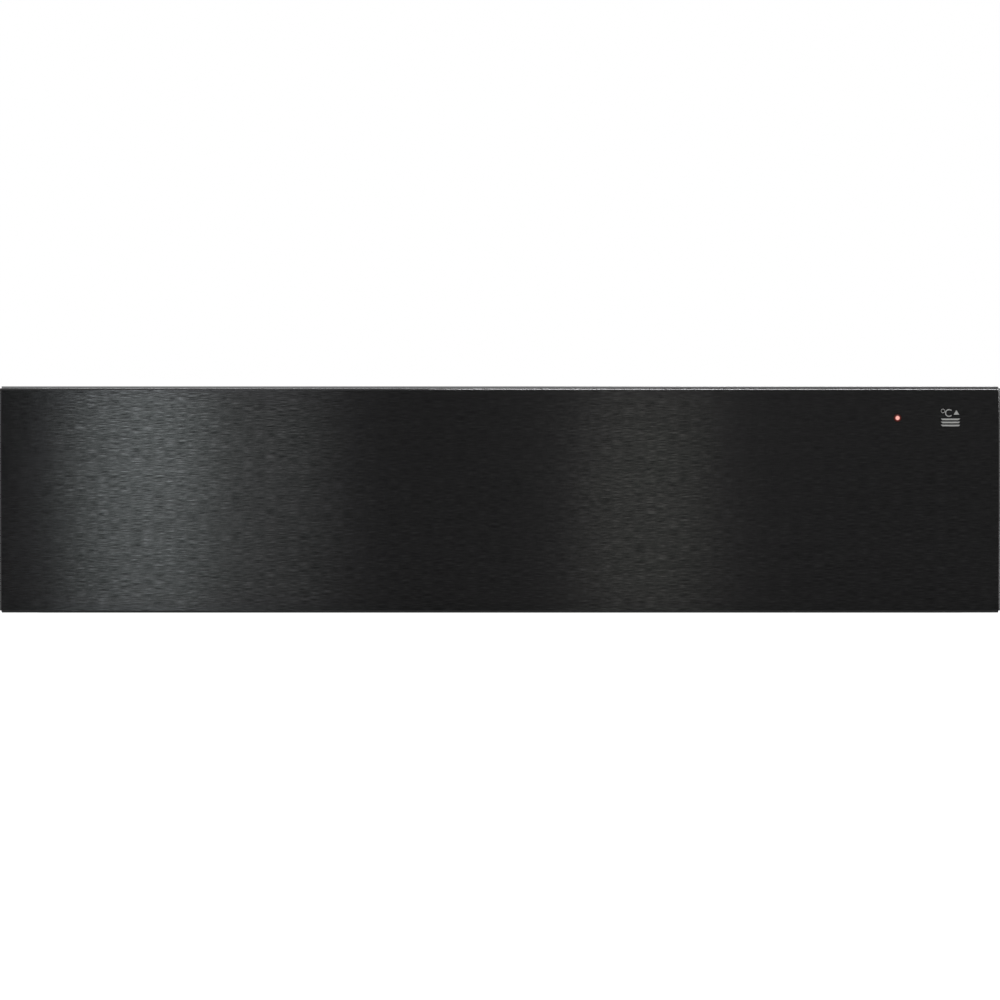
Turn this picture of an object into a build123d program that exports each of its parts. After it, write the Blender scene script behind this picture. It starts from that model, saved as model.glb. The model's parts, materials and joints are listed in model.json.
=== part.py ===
from build123d import *
import os
from math import cos, pi, radians, sin, sqrt, tan

# A built-in warming drawer for a niche 560 wide and 140 high, closed as it stands in a kitchen.
# Sizes are millimetres. X runs to the right, the front faces -Y and Z is up. The origin lies
# under the middle of the whole appliance, on the surface that its housing stands on.
# Depths are measured back from the face of the front panel.

# ---------------------------------------------------------------- overall
overall_depth = 548.0
touch_play = 0.3            # between pieces of two bodies that pass each other
seat_play = 0.05            # round a shaft, pin or rod in its own hole
small_flat_count = 8        # small fasteners and their holes are drawn with this many flats
wheel_flat_count = 24       # larger hidden round forms

# ---------------------------------------------------------------- front panel
panel_width = 597.0
panel_height = 135.0
panel_lift = 0.5            # lower edge above the surface under the housing
panel_return = 20.0         # how far the folded edges reach back
panel_sheet = 1.0
panel_top_bend = 2.4
panel_bend = 1.3
corner_notch = 1.2          # square relief where two folds meet

lining_sheet = 0.8          # inner panel that closes the back of the front panel
lining_flange = 8.0

# ---------------------------------------------------------------- operating light
light_from_right = 61.3
light_from_top = 18.9
lens_radius = 2.2
lens_length = 5.0
lens_recess = 0.1
lens_collar_radius = 3.5
lens_collar = 1.0
light_holder_width = 28.0
light_holder_height = 16.0
light_board = 1.6
light_chip_radius = 1.5
light_chip = 1.2

# ---------------------------------------------------------------- housing
housing_width = 556.0
housing_height = 134.0
housing_sheet = 1.0
housing_flange = 10.0       # side sheets fold in by this much, above and below
housing_bend = 1.5
push_travel = 3.0           # how far the closed drawer is pushed in to release it
push_spare = 0.5            # left between the panel's returns and the frame when pushed
frame_ear = 18.0            # frame beyond the housing's side, where it is screwed to the cabinet
frame_sheet = 1.5
frame_top_rail = 8.0
frame_bottom_rail = 5.0
frame_side_step = 0.8       # opening's side, inside the side sheet's inner face
fixing_from_end = 20.0      # holes above and below from the housing's cover and base
fixing_hole_radius = 2.25
bead_width = 12.0
bead_depth = 1.5
bead_corner = 4.0
bead_from_end = 69.5
bead_spacing = 170.0
bead_count = 2
vent_length = 70.0
vent_height = 3.0
vent_pitch = 9.0
vent_count = 6
vent_from_middle = 120.0
vent_from_top = 46.0

# ---------------------------------------------------------------- telescopic slides
slide_room = 68.0           # behind the slides, in front of the rear panel
slide_setback = 1.0         # front end of the closed slide behind the front frame
slide_height = 45.5
slide_thickness = 12.7
slide_sheet = 1.2
slide_above_tray = 41.0     # middle of the slides above the tray's underside
slide_bend = 1.3            # middle line of the rolled edges
slide_play = 0.35           # between cage and members
outer_short = 1.7           # outer flanges stop this far from the tray's side
middle_short = 0.6          # middle flanges stop this far from the inner member's web
outer_lip = 3.4
middle_lip = 3.2
inner_lip = 2.6
ball_radius = 2.0
cage_sheet = 0.6
cage_length = 200.0
cage_short = 0.6            # cage flanges stop this far from the lips
ball_count = 3
ball_pitch = 85.0
rivet_radius = 2.0
rivet_head_radius = 3.4
rivet_head = 1.0
rivet_tail_radius = 3.2
rivet_tail = 0.8
rivet_count = 3
rivet_from_end = 55.0       # end rivets from the slide's ends

# ---------------------------------------------------------------- tray
tray_over_rail = 3.0        # tray's underside above the frame's lower rail
tray_under_rail = 8.0       # tray's rim below the frame's upper rail
rear_room = 11.0            # behind the closed drawer, in front of the rear panel
tray_sheet = 1.0
tray_bend = 5.5
tray_rim = 8.0
tray_rim_bend = 1.5
mat_thickness = 2.0
mat_play = 1.0
screw_radius = 2.0
screw_head_radius = 3.6
screw_head = 1.8
screw_past = 1.5            # thread that shows past the sheet it holds
tray_screw_from_end = 65.0  # end screws from the slide's ends
tray_screw_count = 3
front_screw_from_console = 13.0
front_screw_spacing_z = 70.0

# ---------------------------------------------------------------- heater behind the tray
heater_width = 262.0
heater_margin = 5.0         # tray's rear wall above and below the heater box
heater_depth = 55.0
heater_sheet = 1.0
heater_flange_x = 8.0
heater_flange_z = 4.0
heater_opening_width = 236.0
heater_opening_margin = 4.0 # box's height beyond the opening, above and below
grille_border_x = 9.0       # flat edge of the grille outside the opening
grille_border_z = 5.0
grille_raise = 4.0
grille_sheet = 1.0
grille_slot_width = 3.4
intake_slot_count = 9
outlet_height = 62.0
outlet_pitch = 9.0
outlet_slot_count = 6
outlet_start = 56.0
element_from_fan = 3.75     # between the wheel's rim and the rod
element_rod_radius = 3.25
element_gap = 90.0          # degrees left open below, between the two ends
element_depth = 22.0        # behind the tray's rear wall
element_tail = 6.0
fan_radius = 33.0
fan_blade_count = 12
fan_blade = 1.0
fan_blade_inner = 15.0
fan_depth = 20.0
fan_plate = 1.0
fan_hub_radius = 7.0
fan_hub_length = 20.0
fan_front = 14.0            # front of the blades behind the tray's rear wall
fan_shaft_radius = 2.0
fan_shaft_hole_radius = 4.5
bulb_radius = 3.0
bulb_length = 80.0
bulb_past = 3.0
bulb_height = 7.0           # above the heater box's floor
bulb_depth = 12.0
cutout_radius = 8.0
cutout_height = 9.0
cutout_plate_length = 30.0
cutout_plate_width = 12.0
cutout_plate = 1.5
cutout_from_middle = 82.0

# ---------------------------------------------------------------- fan motor
motor_standoff = 7.5
stack_width = 48.0
stack_thickness = 20.0
stack_above = 19.0          # from the shaft up
stack_below = 42.0
stack_limb = 10.0
stack_bridge = 19.0         # from the shaft down to the coil's window
rotor_radius = 13.0
rotor_gap = 0.5
rotor_end_gap = 1.0
coil_thickness = 5.0
coil_play = 0.1
bracket_sheet = 1.5
bracket_height = 14.0
bearing_radius = 6.0
bearing_length = 6.0
stud_radius = 2.0
stud_collar_radius = 4.0
stud_nut_radius = 3.8
stud_nut = 3.0
stud_past = 1.5
shaft_past = 2.0

# ---------------------------------------------------------------- controls inside the drawer
console_width = 132.0
console_depth = 49.0
console_below_rim = 18.0    # its face below the tray's rim
console_wall = 2.0
console_play = 0.3
console_edge = 3.0
knob_from_right = 38.0      # from the console's right side
knob_skirt_radius = 17.0
knob_skirt = 4.0
knob_grip_radius = 15.0
knob_grip_width = 9.0
knob_grip = 7.0
knob_gap = 0.6              # skirt above the console's face
knob_line_width = 1.2
knob_line_depth = 0.5
knob_line_length = 9.0
stat_width = 36.0
stat_depth = 32.0
stat_height = 24.0
stat_shaft_radius = 3.0
stat_shaft_in = 14.0        # shaft inside the thermostat
stat_bush_radius = 4.6
stat_nut_radius = 7.0
stat_nut = 2.4
nut_cavity_play = 0.6
shaft_in_knob = 6.0
rocker_from_right = 98.0
rocker_radius = 9.4         # its ends are arcs round the pivot
rocker_width = 10.4
rocker_tilt = 10.0          # degrees each way from level
rocker_end_angle = 38.0
rocker_low_angle = 20.0
rocker_pin_radius = 1.5
rocker_pivot_drop = 2.9     # pivot below the console's face
switch_wall = 1.3
switch_rim = 1.4
switch_rim_width = 1.2
switch_body_depth = 12.0
switch_floor = 1.5
switch_tag_width = 4.8
switch_tag = 0.8
switch_tag_length = 7.0
switch_tag_spacing = 9.0

# ---------------------------------------------------------------- push latches
latch_width = 11.0
latch_height = 18.0
latch_length = 70.0
latch_below_rim = 23.0
latch_setback = 36.0        # behind the front frame
plunger_radius = 3.0
plunger_in = 40.0           # rod inside its body
plunger_head_radius = 3.8
plunger_head = 4.0
striker_width = 7.0
striker_height = 14.0
striker_length = 10.5

# ---------------------------------------------------------------- supply connection
gland_from_side = 58.0
gland_height = 32.0
gland_flange_radius = 14.0
gland_flange = 3.0
gland_thread_radius = 8.0
gland_bore_radius = 5.0
gland_nut_radius = 12.0
gland_nut = 6.0
terminal_from_gland = 60.0
terminal_width = 46.0
terminal_height = 22.0
terminal_depth = 18.0
terminal_well_radius = 3.2
terminal_well = 12.0
terminal_pitch = 14.0
terminal_count = 3
cover_screw_radius = 1.8
cover_screw_head_radius = 3.4
cover_screw_length = 6.0
cover_screw_from_end = 49.5
cover_screw_count = 3

# ---------------------------------------------------------------- places worked out from the sizes
panel_half = panel_width / 2
panel_top = panel_lift + panel_height
light_x = panel_half - light_from_right
light_z = panel_top - light_from_top
light_holder = lens_length + lens_recess - panel_sheet

frame_front = panel_return + push_travel + push_spare
frame_back = frame_front + frame_sheet
housing_half = housing_width / 2
wall_x = housing_half - housing_sheet               # inner face of a side sheet
frame_half = housing_half + frame_ear
housing_back = overall_depth - gland_flange         # outer face of the rear panel
shell_back = housing_back - housing_sheet
shell_middle = (frame_back + shell_back) / 2
shell_length = shell_back - frame_back
bead_length = shell_length - 2 * bead_from_end
frame_opening_half = wall_x - frame_side_step
frame_opening_low = housing_sheet + frame_bottom_rail
frame_opening_high = housing_height - frame_top_rail
fixing_spacing_x = housing_width + frame_ear
fixing_spacing_z = housing_height - 2 * fixing_from_end
cover_screw_x = housing_half - housing_flange / 2 - housing_sheet
cover_screw_pitch = (shell_length - 2 * cover_screw_from_end) / (cover_screw_count - 1)
vent_z = housing_height - vent_from_top
gland_x = gland_from_side - housing_half
terminal_x = gland_x + terminal_from_gland

tray_half = wall_x - slide_thickness                # outer face of the tray's side
tray_bottom = frame_opening_low + tray_over_rail
tray_top = frame_opening_high - tray_under_rail
tray_floor = tray_bottom + tray_sheet
tray_inner_bend = tray_bend - tray_sheet / 2
tray_middle_z = (tray_bottom + tray_top) / 2
heater_height = tray_top - tray_bottom - 2 * heater_margin
heater_opening_height = heater_height - 2 * heater_opening_margin

stack_from_box = motor_standoff + bracket_sheet
shaft_from_box = stack_from_box + stack_thickness + bearing_length + shaft_past
tray_front = panel_return + tray_sheet
heater_back = shell_back - rear_room - shaft_from_box
rear_wall_back = heater_back - heater_depth
tray_back = rear_wall_back - tray_sheet
motor_front = heater_back + motor_standoff          # front bracket's front face
stack_front = heater_back + stack_from_box
stack_back = stack_front + stack_thickness
motor_back = stack_back + bracket_sheet
shaft_back = heater_back + shaft_from_box
fan_back = rear_wall_back + fan_front + fan_depth
stud_x = stack_width / 2 - stack_limb / 2
element_radius = fan_radius + element_from_fan + element_rod_radius
bulb_z = tray_middle_z - heater_height / 2 + heater_sheet + bulb_height

slide_front = frame_back + slide_setback
slide_back = shell_back - slide_room
slide_length = slide_back - slide_front
slide_middle = (slide_front + slide_back) / 2
slide_z = tray_bottom + slide_above_tray
rivet_pitch = (slide_length - 2 * rivet_from_end) / (rivet_count - 1)
tray_screw_pitch = (slide_length - 2 * tray_screw_from_end) / (tray_screw_count - 1)
outer_reach = slide_thickness - outer_short         # flange tips, from the side sheet
middle_reach = slide_thickness - slide_sheet - middle_short
outer_half = slide_height / 2
outer_ball_half = outer_half - slide_sheet - seat_play - ball_radius
middle_half = outer_ball_half - ball_radius - seat_play
inner_ball_half = middle_half - slide_sheet - seat_play - ball_radius
inner_half = inner_ball_half - ball_radius - seat_play
outer_cage_web = slide_sheet + slide_play
middle_web = outer_cage_web + cage_sheet + slide_play
inner_cage_web = middle_web + slide_sheet + slide_play
inner_tip = inner_cage_web + cage_sheet + slide_play

console_top = tray_top - console_below_rim
console_under = console_top - console_wall
console_right = tray_half - tray_sheet - console_play
console_left = console_right - console_width
console_front = tray_front + console_play
console_back = console_front + console_depth
console_middle = (console_front + console_back) / 2
front_screw_x = console_left - front_screw_from_console
knob_x = console_right - knob_from_right
knob_low = console_top + knob_gap
knob_top = knob_low + knob_skirt + knob_grip
shaft_top = knob_low + knob_skirt + shaft_in_knob
rocker_x = console_right - rocker_from_right
rocker_pivot_z = console_top - rocker_pivot_drop
switch_half_length = rocker_radius + touch_play + switch_wall
switch_half_width = rocker_width / 2 + touch_play + switch_wall

latch_x = (tray_half + frame_opening_half) / 2
latch_z = tray_top - latch_below_rim
latch_front = frame_back + latch_setback
striker_back = panel_return + striker_length
plunger_tip = striker_back + push_travel + touch_play


# ---------------------------------------------------------------- shared forms
def y_at(depth):
    """Y of a point this far behind the face of the front panel."""
    return depth - overall_depth / 2


def block(x_low, x_high, front, back, z_low, z_high):
    """Box between two corners, its Y range given as depths."""
    middle = Pos((x_low + x_high) / 2, y_at((front + back) / 2), (z_low + z_high) / 2)
    return middle * Box(x_high - x_low, back - front, z_high - z_low)


def centred_block(x, z, width, height, front, back):
    """Box about a line that runs front to back."""
    return block(x - width / 2, x + width / 2, front, back, z - height / 2, z + height / 2)


def bar(radius, length, flats):
    """Upright bar, round or with so many flats that touch the same circle."""
    if flats:
        return extrude(flat_circle(radius, flats), amount=length)
    return Cylinder(radius, length, align=(Align.CENTER, Align.CENTER, Align.MIN))


def flat_circle(radius, flats):
    """Polygon whose flats touch a circle, one of them at each side where there are 4, 8 or 12."""
    return RegularPolygon(radius, flats, major_radius=False, rotation=180 / flats)


def rod_back(x, z, front, back, radius, flats=0):
    """Rod that runs front to back."""
    start = Plane(origin=(x, y_at(front), z), x_dir=(1, 0, 0), z_dir=(0, 1, 0))
    return start * bar(radius, back - front, flats)


def rod_across(x_low, x_high, depth, z, radius, flats=0):
    """Rod that runs left to right."""
    start = Plane(origin=(x_low, y_at(depth), z), x_dir=(0, 1, 0), z_dir=(1, 0, 0))
    return start * bar(radius, x_high - x_low, flats)


def rod_up(x, depth, z_low, z_high, radius, flats=0):
    """Rod that stands upright."""
    return Pos(x, y_at(depth), z_low) * bar(radius, z_high - z_low, flats)


def countersink(low_radius, high_radius, height):
    """Sunk screw or rivet head, drawn with the same flats as its shank."""
    low = flat_circle(low_radius, small_flat_count)
    high = Pos(0, 0, height) * flat_circle(high_radius, small_flat_count)
    return loft([low.face(), high.face()], ruled=True)


def drawn_back(section, front, back):
    """Section drawn in X and Z, carried from one depth to another."""
    plane = Plane(origin=(0, y_at(back), 0), x_dir=(1, 0, 0), z_dir=(0, -1, 0))
    return extrude(plane * section, amount=back - front)


def folded(points, bends, sheet):
    """Section of folded sheet along its middle line."""
    return trace(FilletPolyline(*points, radius=bends), line_width=sheet)


def along(count, pitch):
    """Evenly spaced offsets either side of nought."""
    return [(step - (count - 1) / 2) * pitch for step in range(count)]


def left_and_right(right_piece):
    """The right-hand piece and its mirror image."""
    return mirror(right_piece, about=Plane.YZ), right_piece


def group(pieces):
    """Separate solids kept together as one item."""
    return Compound(children=[piece.solid() for piece in pieces])


# ---------------------------------------------------------------- front of the drawer
def bent_block(inset):
    """The folded panel's outer form, or its inner form one sheet inside."""
    half = panel_half - inset
    low = panel_lift + inset
    high = panel_top - inset
    body = block(-half, half, inset, panel_return, low, high)
    front_edges = body.edges().filter_by(Axis.X).group_by(Axis.Y)[0].sort_by(Axis.Z)
    from_side = fillet(front_edges[-1], panel_top_bend - inset)
    low_edge = from_side.edges().filter_by(Axis.X).sort_by(Axis.Z)[:2].sort_by(Axis.Y)[0]
    from_side = fillet(low_edge, panel_bend - inset)
    uprights = body.edges().filter_by(Axis.Z).group_by(Axis.Y)[0]
    return from_side & fillet(uprights, panel_bend - inset)


def make_front_panel():
    panel = bent_block(0) - bent_block(panel_sheet)
    for side in (-1, 1):
        for z in (panel_lift, panel_top):
            panel -= centred_block(side * panel_half, z, 2 * corner_notch, 2 * corner_notch, 0, panel_return)
    return panel - rod_back(light_x, light_z, 0, panel_sheet, lens_radius + seat_play)


def lining_space(inset, front, back):
    """Block that fills the front panel between its returns."""
    half = panel_half - panel_sheet - inset
    low = panel_lift + panel_sheet + inset
    return block(-half, half, front, back, low, panel_top - panel_sheet - inset)


def make_lining():
    """Shallow pan set into the back of the front panel, with the tray's front screws through it."""
    pan = lining_space(0, panel_return - lining_flange, panel_return)
    pan -= lining_space(lining_sheet, panel_return - lining_flange, panel_return - lining_sheet)
    for x, z in front_screw_places():
        pan -= rod_back(x, z, panel_return - lining_sheet, panel_return, screw_radius + seat_play,
                        small_flat_count)
    return pan


def front_screw_places():
    return [(x, tray_middle_z + z) for x in along(2, 2 * front_screw_x)
            for z in along(2, front_screw_spacing_z)]


def make_insulation():
    """Mineral wool between the two sheets of the front, cut out round the light."""
    pad = lining_space(panel_top_bend, panel_sheet, panel_return - lining_sheet)
    pad -= centred_block(light_x, light_z, light_holder_width + 2 * touch_play,
                         light_holder_height + 2 * touch_play, panel_sheet, panel_return)
    for x, z in front_screw_places():
        thread = panel_return - lining_sheet - screw_past - touch_play
        pad -= rod_back(x, z, thread, panel_return, screw_radius + touch_play, small_flat_count)
    return pad


def make_lens():
    """Light pipe whose end is the red dot on the front."""
    pipe = rod_back(light_x, light_z, lens_recess, lens_recess + lens_length, lens_radius)
    return pipe + rod_back(light_x, light_z, panel_sheet, panel_sheet + lens_collar, lens_collar_radius,
                           small_flat_count)


def make_light_holder():
    back = panel_sheet + light_holder
    holder = centred_block(light_x, light_z, light_holder_width, light_holder_height, panel_sheet, back)
    holder -= rod_back(light_x, light_z, panel_sheet, back, lens_radius + seat_play, small_flat_count)
    collar_room = panel_sheet + lens_collar + seat_play
    return holder - rod_back(light_x, light_z, panel_sheet, collar_room,
                             lens_collar_radius + seat_play, small_flat_count)


def make_light_board():
    front = panel_sheet + light_holder
    board = centred_block(light_x, light_z, light_holder_width, light_holder_height,
                          front, front + light_board)
    back = front + light_board
    return board + rod_back(light_x, light_z, back, back + light_chip, light_chip_radius, small_flat_count)


# ---------------------------------------------------------------- housing
def bead(z_low, z_high, x, inset=0):
    """Rib pressed into a flat sheet, running front to back, its corners cut off."""
    outline = Rectangle(bead_width - 2 * inset, bead_length - 2 * inset)
    outline = chamfer(outline.vertices(), bead_corner - inset / 2)
    return Pos(x, y_at(shell_middle), z_low) * extrude(outline, amount=z_high - z_low)


def make_base_pan():
    pan = block(-housing_half, housing_half, frame_back, shell_back, 0, housing_sheet)
    for x in along(bead_count, bead_spacing):
        pan += bead(0, housing_sheet + bead_depth, x)
        pan -= bead(0, bead_depth, x, housing_sheet)
    return pan


def make_top_cover():
    low = housing_height - housing_sheet
    cover = block(-housing_half, housing_half, frame_back, shell_back, low, housing_height)
    for x in along(bead_count, bead_spacing):
        cover += bead(low - bead_depth, housing_height, x)
        cover -= bead(housing_height - bead_depth, housing_height, x, housing_sheet)
    for screw in cover_screw_forms(seat_play):
        cover -= screw
        cover -= mirror(screw, about=Plane.YZ)
    return cover


def make_side_sheet():
    """Right-hand side, folded in above and below so that base and cover can be fixed to it."""
    line_x = housing_half - housing_sheet / 2
    tip = housing_half - housing_flange
    low = housing_sheet * 1.5
    high = housing_height - housing_sheet * 1.5
    section = folded([(tip, low), (line_x, low), (line_x, high), (tip, high)], housing_bend, housing_sheet)
    side = drawn_back(section, frame_back, shell_back)
    for rivet in rivet_forms(seat_play):
        side -= rivet
    for screw in cover_screw_forms(seat_play):
        side -= screw
    return side


def make_rear_panel():
    rear = block(-housing_half, housing_half, shell_back, housing_back, 0, housing_height)
    for side in (-1, 1):
        for z in along(vent_count, vent_pitch):
            slot = Rectangle(vent_length, vent_height)
            at = Pos(side * vent_from_middle, vent_z + z)
            rear -= drawn_back(at * slot, shell_back, housing_back)
    return rear - rod_back(gland_x, gland_height, shell_back, housing_back,
                           gland_thread_radius + seat_play, small_flat_count)


def make_front_frame():
    frame = block(-frame_half, frame_half, frame_front, frame_back, housing_sheet, housing_height)
    frame -= block(-frame_opening_half, frame_opening_half, frame_front, frame_back,
                   frame_opening_low, frame_opening_high)
    for x in along(2, fixing_spacing_x):
        for z in along(2, fixing_spacing_z):
            frame -= rod_back(x, housing_height / 2 + z, frame_front, frame_back, fixing_hole_radius)
    return frame


def cover_screw_forms(play):
    """Countersunk screws of the right-hand side, flush with the cover."""
    screws = []
    for step in along(cover_screw_count, cover_screw_pitch):
        depth = shell_middle + step
        low = housing_height - housing_sheet
        sunk = countersink(cover_screw_radius + play, cover_screw_head_radius + play, housing_sheet)
        shank_low = housing_height - cover_screw_length
        shank = rod_up(cover_screw_x, depth, shank_low, housing_height, cover_screw_radius + play,
                       small_flat_count)
        screws.append(Pos(cover_screw_x, y_at(depth), low) * sunk + shank)
    return screws


def make_cover_screws():
    right = cover_screw_forms(0)
    return group(right + [mirror(screw, about=Plane.YZ) for screw in right])


def make_gland():
    """Cable entry: flange outside, threaded barrel through the rear panel."""
    x = gland_x
    nut_front = shell_back - gland_nut
    gland = rod_back(x, gland_height, housing_back, overall_depth, gland_flange_radius, wheel_flat_count)
    gland += rod_back(x, gland_height, nut_front, housing_back, gland_thread_radius, small_flat_count)
    return gland - rod_back(x, gland_height, nut_front, overall_depth, gland_bore_radius)


def make_gland_nut():
    x = gland_x
    hexagon = Pos(x, gland_height) * RegularPolygon(gland_nut_radius, 6)
    nut = drawn_back(hexagon, shell_back - gland_nut, shell_back)
    return nut - rod_back(x, gland_height, shell_back - gland_nut, shell_back,
                          gland_thread_radius + seat_play, small_flat_count)


def make_terminal_block():
    x = terminal_x
    front = shell_back - terminal_depth
    body = centred_block(x, gland_height, terminal_width, terminal_height, front, shell_back)
    for step in along(terminal_count, terminal_pitch):
        body -= rod_back(x + step, gland_height, front, front + terminal_well, terminal_well_radius,
                         small_flat_count)
    return body


# ---------------------------------------------------------------- telescopic slides
def from_wall(points):
    """Slide sections are given as distance from the side sheet and height from the middle."""
    return [(wall_x - reach, slide_z + height) for reach, height in points]


def lipped_channel(web, tip, half, lip):
    """Rolled slide member: flat web, two flanges that carry the balls, and curled lips."""
    points = [(tip, lip - half), (tip, -half), (web, -half), (web, half), (tip, half), (tip, half - lip)]
    return folded(from_wall(points), slide_bend, slide_sheet)


def make_outer_member():
    line = slide_sheet / 2
    section = lipped_channel(line, outer_reach - line, outer_half - line, outer_lip)
    member = drawn_back(section, slide_front, slide_back)
    for rivet in rivet_forms(seat_play):
        member -= rivet
    return member


def make_middle_member():
    line = slide_sheet / 2
    section = lipped_channel(middle_web + line, middle_reach - line, middle_half - line, middle_lip)
    return drawn_back(section, slide_front, slide_back)


def make_inner_member():
    line = slide_sheet / 2
    section = lipped_channel(slide_thickness - line, inner_tip + line, inner_half - line, inner_lip)
    member = drawn_back(section, slide_front, slide_back)
    for screw in tray_screw_forms(seat_play):
        member -= screw
    return member


def ball():
    """Steel ball, drawn with flats that touch its true size along and across the races."""
    prism = Pos(0, 0, -ball_radius) * bar(ball_radius, 2 * ball_radius, small_flat_count)
    return prism & Rotation(90, 0, 0) * prism & Rotation(0, 90, 0) * prism


def ball_cage(web, reach, row_half):
    """Thin pressed channel that keeps an upper and a lower row of balls apart."""
    line = web + cage_sheet / 2
    tip = reach - slide_sheet - cage_short
    row_from_wall = (web + cage_sheet + reach - slide_sheet) / 2
    points = [(tip, -row_half), (line, -row_half), (line, row_half), (tip, row_half)]
    section = folded(from_wall(points), slide_bend / 2, cage_sheet)
    front = slide_middle - cage_length / 2
    cage = drawn_back(section, front, front + cage_length)
    for step in along(ball_count, ball_pitch):
        for row in (-row_half, row_half):
            cage += Pos(wall_x - row_from_wall, y_at(slide_middle + step), slide_z + row) * ball()
    return cage


def make_outer_cage():
    return ball_cage(outer_cage_web, outer_reach, outer_ball_half)


def make_inner_cage():
    return ball_cage(inner_cage_web, middle_reach, inner_ball_half)


def rivet_forms(play):
    """Rivets of the right-hand slide: sunk head inside, closed tail outside."""
    rivets = []
    face = wall_x - slide_sheet
    for step in along(rivet_count, rivet_pitch):
        sunk = Plane(origin=(face, y_at(slide_middle + step), slide_z), x_dir=(0, 1, 0),
                     z_dir=(1, 0, 0))
        head = sunk * countersink(rivet_head_radius + play, rivet_radius + play, rivet_head)
        rivets.append(head + rod_across(face, housing_half, slide_middle + step, slide_z,
                                        rivet_radius + play, small_flat_count))
    return rivets


def make_slide_rivets():
    right = []
    for rivet, step in zip(rivet_forms(0), along(rivet_count, rivet_pitch)):
        tail = rod_across(housing_half, housing_half + rivet_tail, slide_middle + step,
                          slide_z, rivet_tail_radius, small_flat_count)
        right.append(rivet + tail)
    return group(right + [mirror(rivet, about=Plane.YZ) for rivet in right])


# ---------------------------------------------------------------- tray
def make_tray():
    """Floor and sides folded from one sheet, with an outward rim along each side."""
    line = tray_half - tray_sheet / 2
    low = tray_bottom + tray_sheet / 2
    high = tray_top - tray_sheet / 2
    tip = tray_half + tray_rim
    points = [(-tip, high), (-line, high), (-line, low), (line, low), (line, high), (tip, high)]
    bends = [tray_rim_bend, tray_bend, tray_bend, tray_rim_bend]
    tray = drawn_back(folded(points, bends, tray_sheet), tray_front, tray_back)
    for screw in tray_screw_forms(seat_play):
        tray -= screw
        tray -= mirror(screw, about=Plane.YZ)
    return tray


def end_wall(front, back):
    """Plate that closes one end of the tray, its lower corners round like the fold."""
    wall = block(-tray_half, tray_half, front, back, tray_bottom, tray_top)
    low_corners = wall.edges().filter_by(Axis.Y).group_by(Axis.Z)[0]
    return fillet(low_corners, tray_bend + tray_sheet / 2)


def make_tray_front_wall():
    wall = end_wall(panel_return, tray_front)
    for x, z in front_screw_places():
        wall -= rod_back(x, z, panel_return, tray_front, screw_radius + seat_play, small_flat_count)
    return wall


def make_tray_rear_wall():
    wall = end_wall(tray_back, rear_wall_back)
    wall -= centred_block(0, tray_middle_z, heater_opening_width, heater_opening_height,
                          tray_back, rear_wall_back)
    for x, z in grille_screw_places():
        wall -= rod_back(x, z, tray_back, rear_wall_back, screw_radius + seat_play, small_flat_count)
    return wall


def make_mat():
    """Non-slip mat on the tray's floor, cut out round the console."""
    half = tray_half - tray_sheet - tray_inner_bend - mat_play
    mat = block(-half, half, tray_front + mat_play, tray_back - mat_play, tray_floor,
                tray_floor + mat_thickness)
    return mat - block(console_left - mat_play, half, tray_front, console_back + mat_play,
                       tray_floor, tray_floor + mat_thickness)


def tray_screw_forms(play):
    """Screws that hold the right-hand inner slide member to the tray, heads inside the tray."""
    screws = []
    inside = tray_half - tray_sheet
    past = tray_half + slide_sheet + screw_past
    for step in along(tray_screw_count, tray_screw_pitch):
        depth = slide_middle + step
        head = rod_across(inside - screw_head, inside, depth, slide_z, screw_head_radius,
                          small_flat_count)
        screws.append(head + rod_across(inside, past, depth, slide_z, screw_radius + play,
                                        small_flat_count))
    return screws


def make_tray_screws():
    right = tray_screw_forms(0)
    return group(right + [mirror(screw, about=Plane.YZ) for screw in right])


def make_front_screws():
    """Screws from inside the tray into the lining of the front."""
    screws = []
    for x, z in front_screw_places():
        head = rod_back(x, z, tray_front, tray_front + screw_head, screw_head_radius, small_flat_count)
        front = panel_return - lining_sheet - screw_past
        screws.append(head + rod_back(x, z, front, tray_front, screw_radius, small_flat_count))
    return group(screws)


# ---------------------------------------------------------------- heater and fan
def make_grille():
    """Pressed cover over the fan: round intake in the middle, upright outlets either side."""
    width = heater_opening_width + 2 * grille_border_x
    height = heater_opening_height + 2 * grille_border_z
    front = tray_back - grille_sheet
    face = front - grille_raise
    inner_width = heater_opening_width - 2 * grille_sheet
    inner_height = heater_opening_height - 2 * grille_sheet
    grille = centred_block(0, tray_middle_z, width, height, front, tray_back)
    grille += centred_block(0, tray_middle_z, heater_opening_width, heater_opening_height, face, front)
    grille -= centred_block(0, tray_middle_z, inner_width, inner_height, face + grille_sheet, tray_back)
    for slot in grille_slots():
        grille -= drawn_back(slot, face, face + grille_sheet)
    for x, z in grille_screw_places():
        grille -= rod_back(x, z, front, tray_back, screw_radius + seat_play, small_flat_count)
    return grille


def grille_slots():
    slots = []
    for x in along(intake_slot_count, 2 * fan_radius / intake_slot_count):
        height = 2 * sqrt(fan_radius ** 2 - x ** 2)
        slots.append(Pos(x, tray_middle_z) * Rectangle(grille_slot_width, height))
    for step in range(outlet_slot_count):
        for side in (-1, 1):
            x = side * (outlet_start + step * outlet_pitch)
            slots.append(Pos(x, tray_middle_z) * Rectangle(grille_slot_width, outlet_height))
    return slots


def grille_screw_places():
    return [(x, tray_middle_z + z) for x in along(2, heater_opening_width + grille_border_x)
            for z in along(2, outlet_height)]


def make_grille_screws():
    screws = []
    head_back = tray_back - grille_sheet
    for x, z in grille_screw_places():
        head = rod_back(x, z, head_back - screw_head, head_back, screw_head_radius, small_flat_count)
        screws.append(head + rod_back(x, z, head_back, rear_wall_back + screw_past, screw_radius,
                                      small_flat_count))
    return group(screws)


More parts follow.
